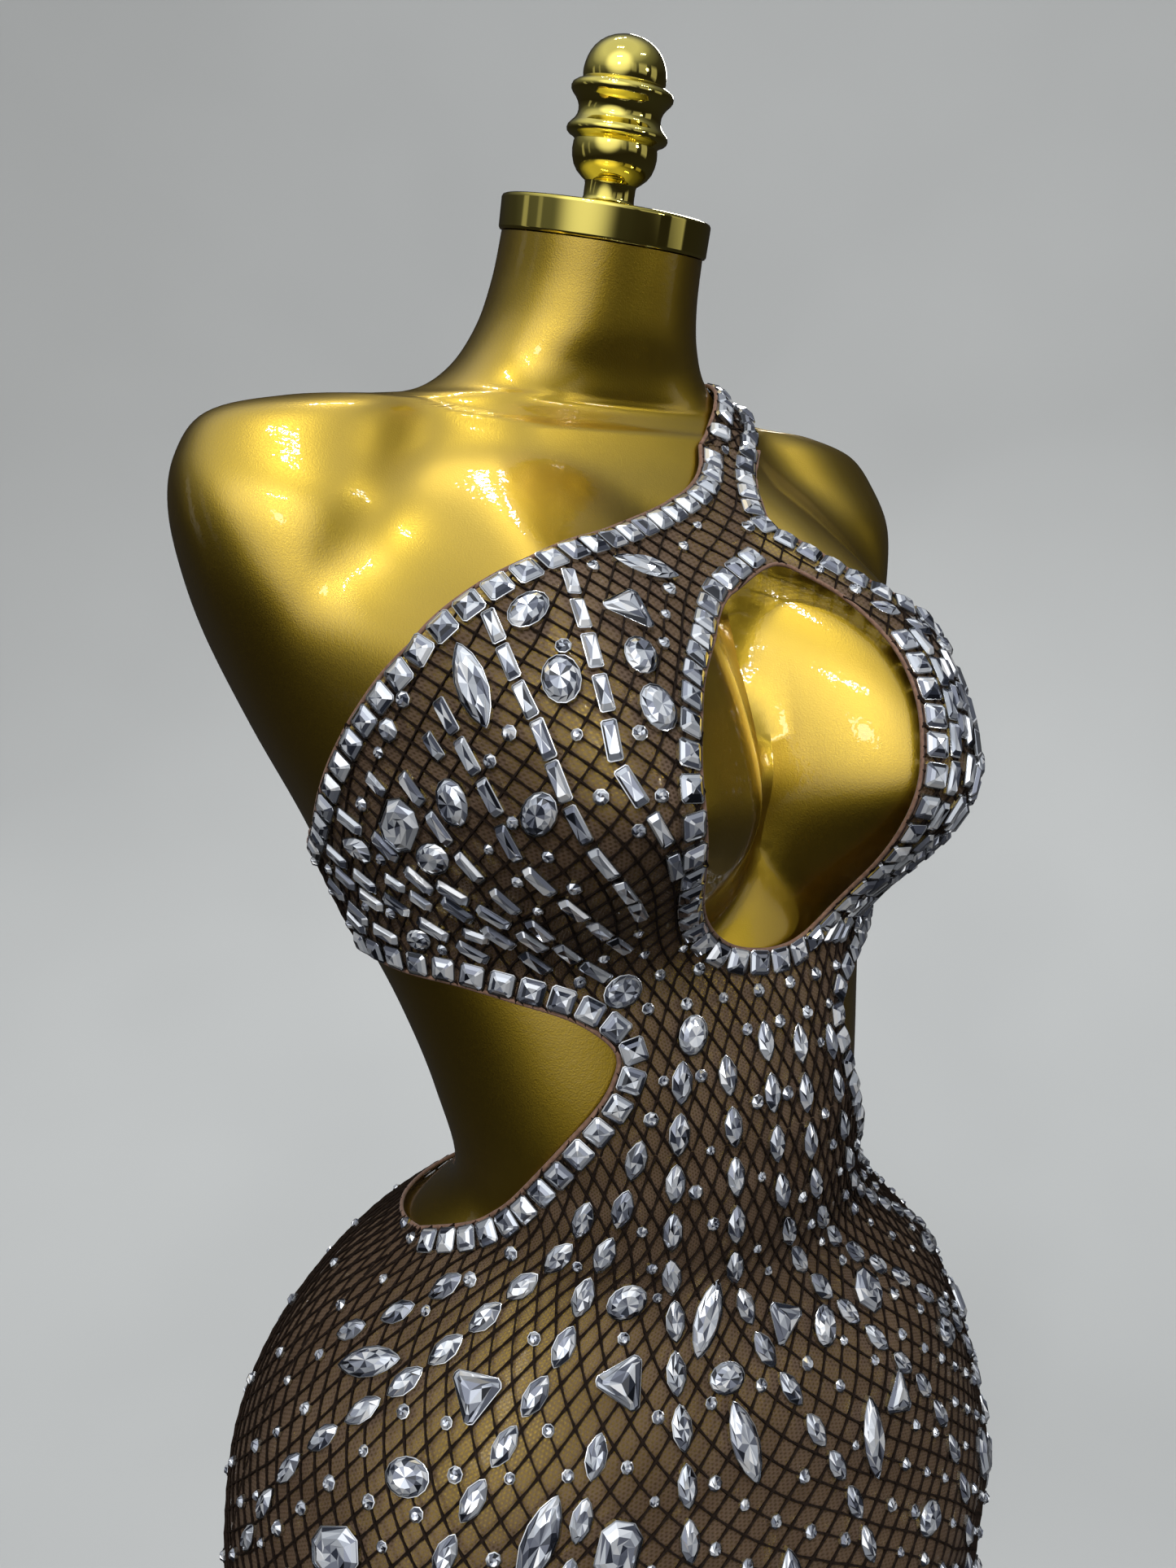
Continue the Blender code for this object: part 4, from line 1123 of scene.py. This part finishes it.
def modelSetting(name, shape):
    # a metal band round the stone, turned in over its edge
    x, y = stoneOutline(shape)
    wide = [1 + settings["wall"] / half for half in shape["size"]]
    ring = outlineRing(name + "Setting", x * wide[0], y * wide[1], "NOTHING")
    ring.data.transform(Matrix.Translation((0, 0, settings["foot"])))
    editAll(ring, "EDGE")
    level, top = settings["foot"], settings["rise"] * shape["tall"]
    for height, wall in ((top, settings["wall"]), (top + settings["lipRise"], settings["lip"])):
        now = [1 + wall / half for half in shape["size"]]
        extrudeUp(height - level)
        scaleAt(height, now[0] / wide[0], now[1] / wide[1])
        level, wide = height, now
    faceOutwards()
    return readModel(ring)


models = {}
for name, shape in stoneCuts.items():
    models[name] = {"gem": modelGem(name, shape), "ring": modelSetting(name, shape)}
print("stone cuts modelled:", {name: len(model["gem"][1]) for name, model in models.items()})

# where the stones go: places are degrees round the figure and height

squareRows = {
    # the CAD's own rows, left clear of each edge: path, distance to its left, what is left clear at each end
    "neckline": (paths["neckline"], -0.0066, 0.004, 0.001),
    "armhole": (paths["armhole"], -0.0066, 0.002, 0.004),
    "right_cutout": (paths["nearCutout"], 0.0066, 0.004, 0.004),
    "left_cutout": (paths["farCutout"][::-1], 0.0066, 0.004, 0.004),
    "keyhole": (paths["keyhole"][:int(len(paths["keyhole"]) * 0.86)], -0.0066, 0.006, 0.004),
}
strapRows = {
    "aside": {"strap_inner": 0.0077, "strap_outer": -0.0077},  # from the strap's middle, to its left
    "share": 11 / 26, "start": 0.003, "lift": 0.0003,
}
stoneChains = [
    # cut, pitch, then the chains, each a few places that it runs through
    ("navette", 0.0205, [
        [(-19, 1.085), (-27, 1.015), (-20, 0.965), (-16, 0.88), (-15, 0.66)],
        [(-31, 1.056), (-42, 1.005), (-41, 0.96), (-50, 0.90), (-58, 0.80), (-62, 0.66)],
        [(-46, 1.030), (-56, 0.985), (-66, 0.948), (-82, 0.912), (-92, 0.86)],
        [(-66, 1.003), (-76, 0.968), (-91, 0.943)],
        [(-10, 1.085), (-11, 1.010), (-5, 0.965), (2, 0.92), (8, 0.85), (10, 0.66)],
        [(0, 1.095), (1, 1.03), (8, 0.985), (20, 0.93), (30, 0.86), (34, 0.66)],
        [(9, 1.09), (12, 1.03), (22, 0.98), (38, 0.93), (52, 0.86), (58, 0.66)],
        [(19, 1.085), (24, 1.05), (34, 1.01), (52, 0.96), (72, 0.91), (84, 0.84), (88, 0.70)],
        [(40, 1.02), (60, 0.985), (80, 0.95), (95, 0.93)],
    ]),
    ("navette", 0.0210, [
        [(-30, 0.94), (-34, 0.84), (-36, 0.66)],
        [(-74, 0.88), (-80, 0.78), (-82, 0.66)],
    ]),
    ("baguette", 0.0155, [
        [(-22, 1.277), (-28, 1.235), (-31, 1.205), (-25, 1.168)],
        [(-34, 1.262), (-37, 1.225), (-38, 1.185), (-27, 1.150)],
        [(-45, 1.246), (-47, 1.200), (-45, 1.170), (-25, 1.131)],
        [(-57, 1.205), (-54, 1.172), (-42, 1.143), (-28, 1.116)],
        [(-69, 1.180), (-62, 1.160), (-47, 1.136), (-39, 1.121)],
        [(-86, 1.168), (-72, 1.151), (-56, 1.133), (-43, 1.117)],
        [(-93, 1.150), (-80, 1.135), (-62, 1.126)],
    ]),
    ("baguette", 0.0152, [
        [(-75, 1.186), (-66, 1.170), (-50, 1.149), (-40, 1.133)],
        [(-91, 1.163), (-78, 1.149), (-64, 1.138), (-50, 1.127)],
        [(-92, 1.139), (-80, 1.127)],
    ]),
    ("slimBaguette", 0.0122, [[(-63, 1.205), (-61, 1.190)]]),
    ("cushion", 0.0098, [
        [(-54, 1.226), (-55, 1.213), (-55, 1.200)],
        [(-67, 1.203), (-63, 1.199), (-59, 1.193)],
    ]),
    ("slimBaguette", 0.0122, [[(-50, 1.222), (-50, 1.205)]]),
]
farCup = {
    # rows that follow the keyhole's side at first, then lie over towards the arm
    "guides": [
        [(19.5, 1.262), (22.8, 1.240), (23.8, 1.215), (23.4, 1.180), (22.2, 1.150), (18.0, 1.114)],
        [(40.0, 1.238), (40.5, 1.217), (39.5, 1.192), (37.0, 1.166), (32.5, 1.140), (26.5, 1.110)],
        [(92.0, 1.160), (84.0, 1.153), (76.0, 1.145), (67.0, 1.137), (58.0, 1.129), (48.0, 1.120)],
    ],
    "rows": (8, 9),
    "cuts": [("baguette", 0.0150), ("slimBaguette", 0.0120), ("baguette", 0.0150), ("cushion", 0.0094)],
}
nearCupFillers = [
    ("slimBaguette", 0.0118, [
        [(-84, 1.176), (-76, 1.166), (-68, 1.158), (-60, 1.148)],
        [(-70, 1.141), (-60, 1.131), (-50, 1.124)],
        [(-58, 1.142), (-50, 1.137), (-42, 1.128)],
    ]),
]
stoneSingles = [
    # cut, degrees round, height, lean from upright, size
    ("oval", -30, 1.260, 70, 0.95), ("oval", -33, 1.237, 20, 1.0), ("oval", -21, 1.244, 35, 0.95),
    ("oval", -23, 1.224, 10, 1.0), ("oval", -34, 1.210, -20, 1.0), ("oval", -41, 1.193, 60, 0.95),
    ("oval", -52, 1.194, 15, 1.0), ("oval", -54, 1.161, 75, 0.95), ("oval", -34, 1.111, 80, 0.9),
    ("oval", -16, 1.091, 25, 0.9), ("octagon", -61, 1.185, 60, 0.95), ("triangle", -20, 1.260, 10, 1.0),
    ("largeNavette", -12, 1.276, 105, 0.85), ("largeNavette", -41, 1.235, 15, 0.95),
    ("pear", -64, 1.153, 70, 1.0), ("pear", -74, 1.170, -60, 1.0),
    ("navette", -70, 1.130, 70, 0.95), ("navette", -62, 1.141, 60, 1.0), ("pear", -84, 1.152, 75, 0.9),
    ("oval", -83, 1.130, 60, 0.75), ("navette", -77, 1.158, 65, 0.9), ("oval", -66, 1.121, 75, 0.7),
    ("navette", 15.5, 1.2695, 105, 0.85), ("navette", 19.8, 1.261, 115, 0.85),
    ("navette", 24.5, 1.254, 110, 0.9),
    ("oval", 30, 1.243, 60, 0.8), ("largeNavette", 37, 1.226, 35, 0.85), ("oval", 45, 1.218, 20, 0.9),
    ("oval", 35.5, 1.196, 15, 0.85), ("oval", 50, 1.190, -15, 0.9), ("pear", 41, 1.178, 30, 1.0),
    ("oval", 61, 1.180, 40, 0.95), ("oval", 66, 1.155, 80, 0.9), ("octagon", 76, 1.165, 30, 0.85),
    ("largeNavette", -14, 0.981, 10, 0.9), ("largeNavette", -8, 0.922, -15, 0.95),
    ("largeNavette", -36, 0.903, 15, 1.0), ("largeNavette", -72, 0.957, 55, 0.9),
    ("triangle", -54, 0.949, 15, 1.0), ("triangle", -29, 0.952, -10, 1.0),
    ("oval", -32, 0.981, 40, 0.95), ("oval", -59, 0.922, 80, 1.0), ("oval", -10, 0.945, 85, 0.9),
    ("octagon", -26, 0.898, 10, 0.95), ("octagon", -68, 0.893, 70, 0.95),
    ("oval", 14, 0.956, 20, 0.95), ("triangle", 3, 0.958, 180, 0.9), ("octagon", 28, 0.948, -25, 0.9),
    ("largeNavette", 12, 0.898, 10, 1.0), ("triangle", 24, 0.905, 0, 0.95), ("oval", 42, 0.905, -35, 1.0),
    ("largeNavette", 60, 0.930, -55, 0.9), ("octagon", 62, 0.885, 30, 0.9), ("oval", 80, 0.905, 60, 0.95),
    ("triangle", -44, 0.865, 20, 1.0), ("oval", -24, 0.850, 80, 1.0), ("largeNavette", -3, 0.858, 0, 1.0),
    ("oval", 20, 0.845, 85, 1.0), ("octagon", 42, 0.835, 0, 0.95), ("triangle", 68, 0.835, 180, 1.0),
    ("octagon", -68, 0.830, 15, 1.0), ("largeNavette", -46, 0.800, 8, 1.05), ("triangle", -24, 0.790, 0, 1.0),
    ("octagon", -3, 0.785, 90, 1.0), ("largeNavette", 21, 0.780, -4, 1.05), ("oval", 44, 0.765, 90, 1.0),
    ("largeNavette", 72, 0.765, -8, 1.0), ("oval", -70, 0.760, 85, 1.0), ("octagon", -48, 0.725, 90, 1.0),
    ("largeNavette", -26, 0.715, 0, 1.05), ("triangle", -3, 0.715, 180, 1.0), ("oval", 21, 0.705, 90, 1.0),
    ("triangle", 46, 0.700, 0, 1.0), ("octagon", 72, 0.695, 0, 1.0), ("triangle", -72, 0.695, 0, 1.0),
    ("octagon", -26, 0.668, 0, 0.95), ("largeNavette", -48, 0.672, 85, 0.95), ("oval", -3, 0.668, 90, 1.0),
]
spacing = {
    # pitch of the squares, room between stones and beside the edges, share of that room kept within chains
    "square": 0.0118, "between": 0.0007, "edge": 0.0012, "roundEdge": 0.0020, "chained": 0.3,
    "chainEnd": 0.002, "chainJitter": 0.03, "finePlaces": 400, "slimFrom": 1.1,
    "seatReach": 0.9, "seatShare": 0.55,  # how near its ends a stone touches, and how far it sinks to them
    # a stone that finds its place taken looks round it, ring by ring
    "searchRings": 5, "searchStep": 0.003, "searchTurn": 0.785, "searchRadius": 0.13,
}
paintedFacetTones = {
    # painted reflections on the stones, tones of the facets: one for each sector, and one of each facet's own,
    # with how often each comes
    "sector": [0.05, 0.30, 0.52, 0.75, 0.95], "own": [0.0, 0.28, 0.55, 0.80, 1.0],
    "often": [0.17, 0.17, 0.22, 0.24, 0.20], "sectorShare": 0.42, "ownShare": 0.58,
}
mostSpots = 9000
taken = {"points": np.zeros((mostSpots, 3)), "reach": np.zeros(mostSpots), "count": 0}


def stonesAt(name, middles, alongs, normals, sizes):
    rows = zip(middles, alongs, np.cross(normals, alongs), normals, sizes)
    columns = ("middle", "along", "across", "normal", "size")
    return [{"cut": name, **dict(zip(columns, row))} for row in rows]


def seatStones(name, turns, heights, alongs, sizes, lift):
    # middles and directions of stones, laid on the cloth at their ends and sides
    turns, heights, sizes = (np.atleast_1d(np.asarray(values, float)) for values in (turns, heights, sizes))
    alongs = np.atleast_2d(alongs)
    half = stoneCuts[name]["size"]
    _, _, _, normals = figureFrame(turns, heights)
    across = np.cross(normals, alongs)
    ends = []
    for directions, reach in ((alongs, half[0]), (-alongs, half[0]), (across, half[1]), (-across, half[1])):
        step = directions * (reach * spacing["seatReach"] * sizes)[:, None]
        ends.append(onCloth(*tangentStep(turns, heights, step), lift))
    alongs = unit(ends[0] - ends[1])
    normals = unit(np.cross(alongs, ends[2] - ends[3]))
    middles = onCloth(turns, heights, lift)
    low = np.min([((end - middles) * normals).sum(1) for end in ends], axis=0)
    return stonesAt(name, middles + normals * (low * spacing["seatShare"])[:, None], alongs, normals, sizes)


def claim(stone, room=None, edgeRoom=None):
    # keeps a stone only where nothing else is; a stone without room stated is always kept
    half = [reach * stone["size"] for reach in stoneCuts[stone["cut"]]["size"]]
    slim = half[0] > half[1] * spacing["slimFrom"]
    count = math.ceil((half[0] - half[1]) / half[1]) + 2 if slim else 1
    offsets = np.linspace(-1, 1, count) * (half[0] - half[1]) if slim else np.zeros(1)
    spots = stone["middle"] + offsets[:, None] * stone["along"]
    reach = half[1] if slim else half[0]
    used = taken["count"]
    if room is not None and used:
        gaps = np.linalg.norm(spots[:, None] - taken["points"][:used], axis=2) - taken["reach"][:used]
        if gaps.min() < reach + room:
            return False
    if edgeRoom is not None:
        gaps = np.linalg.norm(spots[:, None] - edgePoints, axis=2)
        if gaps.min() < reach + edgeRoom:
            return False
    taken["points"][used:used + count] = spots
    taken["reach"][used:used + count] = reach
    taken["count"] += count
    return True


def stonesAlong(name, path, pitch, start, end, jitter=0.0):
    length = runLengths(path)[-1] - start - end
    count = int(length // pitch)
    pitch = length / count
    fine = alongPath(path, np.linspace(0, runLengths(path)[-1], spacing["finePlaces"]))
    _, _, _, normal = figureFrame(fine[:, 0], fine[:, 1])
    forward = np.gradient(figurePoint(fine[:, 0], fine[:, 1]), axis=0)
    forward = unit(forward - (forward * normal).sum(1)[:, None] * normal)
    distances = start + (np.arange(count) + 0.5) * pitch
    rows = np.interp(distances, runLengths(fine), np.arange(len(fine))).astype(int)
    turns, heights = alongPath(path, distances).T
    sizes = 1 + jitter * rng.uniform(-1, 1, count)
    return seatStones(name, turns, heights, forward[rows], sizes, cloth["stoneLift"])


def leanDirection(turn, height, degrees):
    _, _, upward, normal = figureFrame(turn, height)
    upward, lean = unit(upward), np.radians(degrees)[..., None]
    return np.cos(lean) * upward + np.sin(lean) * np.cross(upward, normal)


def placeStones(name, stones, model, replaced=()):
    # one joined mesh from the cut's model, copied to every place
    points, faces, values, total = [], [], [], 0
    for stone in stones:
        ownPoints, ownFaces, sectors = models[stone["cut"]][model]
        x, y, z = (ownPoints * stone["size"]).T[:, :, None]
        points.append(stone["middle"] + x * stone["along"] + y * stone["across"] + z * stone["normal"])
        faces.extend(tuple(k + total for k in face) for face in ownFaces)
        total += len(ownPoints)
        # painted reflections: each facet gets a fixed tone, from near black to white, for the light it would
        # throw back
        if model == "gem":
            sector = rng.choice(paintedFacetTones["sector"], size=sectors.max() + 1)
            own = rng.choice(paintedFacetTones["own"], p=paintedFacetTones["often"], size=len(sectors))
            values.append(paintedFacetTones["sectorShare"] * sector[sectors] + paintedFacetTones["ownShare"] * own)
    mesh = bpy.data.meshes.new(name)
    mesh.from_pydata(np.concatenate(points), [], faces)
    made = linkNew(name, mesh)
    if values:
        layer = mesh.attributes.new("facet", "FLOAT", "FACE")
        layer.data.foreach_set("value", np.concatenate(values).astype(np.float32))
    else:
        smoothBy(made, 35)
    return finishPiece(made, looks["crystal" if model == "gem" else "setting"], replaced)


def placeRow(name, stones):
    for stone in stones:
        claim(stone)
    placeStones(name + "Stones", stones, "gem", [name + "_crystals"])
    return stones


def strapStones(offset):
    pitch, start = spacing["square"], strapRows["start"]
    count = int((strapRun[-1] * strapRows["share"] - start) // pitch)
    distances = start + (np.arange(count) + 0.5) * pitch
    lift = np.full(count, cloth["stoneLift"] + strapRows["lift"])
    middles = strapPlace(distances, np.full(count, offset), lift)
    forward = unit(readRows(distances, strapRun, strapForward))
    _, normals = onForm(middles, np.zeros(count))
    normals = unit(normals - (normals * forward).sum(1)[:, None] * forward)
    return stonesAt("square", middles, forward, normals, np.ones(count))


edgePoints = np.concatenate([
    onCloth(loop[:, 0], loop[:, 1], cloth["stoneLift"]) for loop in (paths["keyhole"], frontOutline())
])
squares = []
for name, (path, inset, start, end) in squareRows.items():
    squares += placeRow(name, stonesAlong("square", sideways(path, inset), spacing["square"], start, end))
for name, offset in strapRows["aside"].items():
    squares += placeRow(name, strapStones(offset))
print("square rows:", len(squares), "stones")


def farCupChains():
    first, middle, last = (np.array(guide) for guide in farCup["guides"])
    rows = []
    for low, high, count in ((first, middle, farCup["rows"][0]), (middle, last, farCup["rows"][1])):
        rows.extend(low + (high - low) * k / count for k in range(count))
    return [(*farCup["cuts"][k % len(farCup["cuts"])], [row]) for k, row in enumerate(rows)]


def chainStones(groups):
    kept, end = [], spacing["chainEnd"]
    for name, pitch, chains in groups:
        for places in chains:
            for stone in stonesAlong(name, smoothPath(places), pitch, end, end, spacing["chainJitter"]):
                if claim(stone, spacing["between"] * spacing["chained"], spacing["edge"]):
                    kept.append(stone)
    return kept


def singleStones():
    # each goes to its place, or to the nearest free one beside it
    shifts = [(0, 0)]
    for ring in range(1, spacing["searchRings"] + 1):
        reach = ring * spacing["searchStep"]
        shifts += [(reach * math.cos(a), reach * math.sin(a)) for a in np.arange(8) * spacing["searchTurn"]]
    kept = []
    for name, turn, height, lean, size in stoneSingles:
        for across, up in shifts:
            at = (math.radians(turn) + across / spacing["searchRadius"], height + up)
            stone = seatStones(name, *at, leanDirection(*at, lean), size, cloth["stoneLift"])[0]
            if onFront(np.array([at]))[0] and claim(stone, spacing["between"], spacing["edge"]):
                kept.append(stone)
                break
        else:
            print("left out:", name, turn, height)
    return kept


chained, single = chainStones(stoneChains), singleStones()
cupRows = chainStones(farCupChains() + nearCupFillers)
fancyStones = chained + single + cupRows
placeStones("fancyStones", fancyStones, "gem")
print("in chains:", len(chained), "single:", len(single), "in the cups' rows:", len(cupRows))

rounds = {
    # turns, heights, the piece they lie on, and which of the net's crossings they take, counted each way
    "places": [(frontTurns, (0.64, 1.34), onFront, 1), (behindTurns, (0.64, 0.99), onBackSkirt, 2)],
    "sizes": (0.8, 1.2), "leans": (0, 45), "lift": 0.0003,
}


def netCrossings(turns, heights, every):
    low, high = (int(np.interp(height, netHeights, netRises)) for height in heights)
    places = []
    for rise in range(low, high + 1):
        height = np.interp(rise, netRises, netHeights)
        wide = cellTurn * cellSide(height) / net["side"]
        for across in range(math.ceil(turns[0] / wide), math.floor(turns[1] / wide) + 1):
            if rise % every == 0 and across % every == 0 and (rise // every + across // every) % 2 == 0:
                places.append((across * wide, height))
    return np.array(places)


roundStones = []
for turns, heights, onPiece, every in rounds["places"]:
    places = netCrossings(turns, heights, every)
    turns, heights = places[onPiece(places)].T
    leans = leanDirection(turns, heights, rng.uniform(*rounds["leans"], len(turns)))
    sizes = rng.uniform(*rounds["sizes"], len(turns))
    for stone in seatStones("round", turns, heights, leans, sizes, cloth["stoneLift"] + rounds["lift"]):
        if claim(stone, spacing["between"], spacing["roundEdge"]):
            roundStones.append(stone)
placeStones("roundStones", roundStones, "gem")
print("rounds on the net:", len(roundStones))
placeStones("stoneSettings", squares + fancyStones, "ring")
placeStones("roundSettings", roundStones, "ring")
print("settings made")

# the studio: a pale floor that curves up into a wall all round, and soft light from the front left

studio = {
    "radius": 2.9, "curve": 1.7, "height": 4.0, "sides": 96, "steps": 12, "below": 0.0005,
    "tone": (0.53, 0.54, 0.535), "uneven": (0.97, 1.03),
}
lights = {
    # place, aim, width, height, watts, seen in the gold
    "key": ((-1.15, -1.2, 3.0), (0.0, 0.0, 1.15), 0.35, 0.35, 30.0, False),
    "fill": ((0.9, -2.1, 1.7), (0.0, 0.0, 1.05), 1.4, 1.4, 7.0, False),
    "side": ((-1.95, -1.5, 1.85), (0.0, 0.0, 1.25), 0.22, 0.22, 13.0, False),
    "leftWall": ((-0.4, 0.6, 2.9), (1.2, 2.6, 1.1), 0.8, 0.8, 4.5, False),
    "frontWall": ((0.3, -0.9, 2.1), (0.2, -3.0, 2.0), 0.9, 0.9, 18.0, False),
    "back": ((-0.7, 2.1, 1.7), (0.0, 0.0, 1.05), 1.2, 1.2, 8.0, False),
    "window": ((-1.58, -1.37, 2.12), (0.0, 0.0, 1.2), 0.26, 0.26, 1.3, True),
    "panel": ((0.9, -1.7, 1.75), (0.0, 0.0, 1.2), 0.20, 0.20, 3.0, True),
    "behind": ((1.5, 1.6, 2.6), (0.0, 0.0, 1.1), 0.5, 0.5, 10.0, True),
}
ceilingLamps = {
    # small lamps in groups of three, which the lacquer mirrors: place and share of the watts
    "groups": [((-1.30, -1.18, 2.74), 0.75), ((-0.62, -0.52, 3.10), 1.0), ((0.17, 0.46, 3.12), 0.8),
               ((0.60, -1.20, 2.75), 0.65)],
    "row": [(-0.17, 0.05, 1.1), (0.0, 0.10, 1.7), (0.15, 0.06, 0.9)],  # aside, width, watts
    "deep": 0.045, "aim": (0.0, 0.0, 1.25),
}
room = {
    "overhead": (-0.33, -0.24, 0.91), "strength": 0.88,
    "ceiling": [
        (0.00, (0.03, 0.03, 0.03)), (0.48, (0.022, 0.020, 0.018)), (0.62, (0.05, 0.05, 0.05)),
        (0.76, (0.20, 0.21, 0.22)), (0.92, (0.86, 0.89, 0.92)),
    ],
    "glow": (-0.72, -0.62, 0.31), "glowFrom": 0.72, "glowStrength": 1.4,
    # pale panels round the room: from and to as shares of a turn, and tone; they fade at top and foot
    "panels": [(0.208, 0.240, 0.5), (0.262, 0.325, 0.85), (0.367, 0.420, 0.9), (0.888, 0.906, 0.7),
               (0.950, 0.962, 0.4)],
    "panelEdge": 0.003, "panelFade": [(0.41, 0), (0.47, 1), (0.63, 1), (0.69, 0)], "panelStrength": 0.40,
}


def makeStudio():
    low = studio["radius"] - studio["curve"]
    made = circlePiece("studioBowl", studio["sides"], low)
    editAll(made, "FACE")
    bpy.ops.mesh.select_all(action="DESELECT")
    bpy.ops.mesh.select_mode(type="EDGE")
    bpy.ops.mesh.select_all(action="SELECT")
    angles = [math.pi / 2 * (k + 1) / studio["steps"] for k in range(studio["steps"])]
    curve, radius, level = studio["curve"], low, 0.0
    rings = [(studio["radius"] - curve * (1 - math.sin(a)), curve * (1 - math.cos(a))) for a in angles]
    for wide, high in rings + [(studio["radius"], studio["height"])]:
        bpy.ops.mesh.extrude_edges_move(TRANSFORM_OT_translate={"value": (0, 0, high - level)})
        scaleAt(high, wide / radius)
        radius, level = wide, high
    faceOutwards(inside=True)
    made.data.transform(Matrix.Translation((0, 0, -studio["below"])))
    smoothBy(made, 60)
    look, tree, shader = newLook("paleStudio")
    dark, light = (tuple(share * t for t in studio["tone"]) for share in studio["uneven"])
    feed(tree, shader, {
        "Base Color": ramp(tree, noise(tree, 1.5, 2.0), [(0.3, dark), (0.7, light)]), "Roughness": 0.85,
    })
    made.data.materials.append(look)
    made.visible_glossy = False  # the gold mirrors the dim room, not the pale wall
    made.visible_diffuse = False


def ceilingRows():
    rows = {}
    for group, (place, share) in enumerate(ceilingLamps["groups"]):
        aside = Vector((-place[1], place[0], 0)).normalized()
        for k, (step, width, watts) in enumerate(ceilingLamps["row"]):
            at = tuple(Vector(place) + aside * step)
            sizes = width, ceilingLamps["deep"]
            rows[f"lamp{group}{k}"] = (at, ceilingLamps["aim"], *sizes, watts * share, True)
    return rows


def makeLights():
    for name, (place, aim, width, height, watts, inGold) in {**lights, **ceilingRows()}.items():
        data = bpy.data.lights.new(name + "Light", "AREA")
        data.shape, data.size, data.size_y, data.energy = "RECTANGLE", width, height, watts
        made = linkNew(name + "Light", data)
        made.location = place
        made.rotation_euler = (Vector(place) - Vector(aim)).to_track_quat("Z", "Y").to_euler()
        made.visible_glossy = inGold


def makeRoom():
    # a dim room, brighter overhead on the left, with a soft glow from the front left and pale panels round it
    world = bpy.data.worlds.new("softRoom")
    bpy.context.scene.world = world
    world.use_nodes = True
    tree = world.node_tree
    outwards = addNode(tree, "ShaderNodeTexCoord", {}, "Generated")

    def towards(direction):
        both = {0: outwards, 1: direction}
        return addNode(tree, "ShaderNodeVectorMath", both, "Value", operation="DOT_PRODUCT")

    def added(first, second):
        return addNode(tree, "ShaderNodeAddShader", {0: first, 1: second})

    above = mapped(tree, towards(room["overhead"]), (-1, 1))
    ceiling = tree.nodes["Background"]
    feed(tree, ceiling, {"Color": ramp(tree, above, room["ceiling"]), "Strength": room["strength"]})
    span, onto = (room["glowFrom"], 1), (0, room["glowStrength"])
    glow = mapped(tree, towards(room["glow"]), span, onto, "SMOOTHERSTEP")
    front = addNode(tree, "ShaderNodeBackground", {"Strength": glow})
    bearing = addNode(tree, "ShaderNodeTexGradient", {"Vector": outwards}, "Fac", gradient_type="RADIAL")
    stops, edge = [(0.0, (0, 0, 0))], room["panelEdge"]
    for start, end, pale in room["panels"]:
        stops += [(start - edge, (0, 0, 0)), (start, (pale,) * 3), (end, (pale,) * 3), (end + edge, (0, 0, 0))]
    level = mapped(tree, towards((0, 0, 1)), (-1, 1))
    fade = ramp(tree, level, [(place, (share,) * 3) for place, share in room["panelFade"]])
    both = {0: ramp(tree, bearing, stops), 1: fade}
    tone = addNode(tree, "ShaderNodeVectorMath", both, operation="MULTIPLY")
    walls = addNode(tree, "ShaderNodeBackground", {"Color": tone, "Strength": room["panelStrength"]})
    everything = added(added(ceiling.outputs[0], front), walls)
    tree.links.new(everything, tree.nodes["World Output"].inputs["Surface"])


makeStudio()
makeLights()
makeRoom()
bpy.context.scene.view_settings.view_transform = "Standard"
print("studio, lights and room made")

for piece in (front, backSkirt, backBand, strap):
    print(piece.name, "surface", round(sum(face.area for face in piece.data.polygons) / 2, 4))
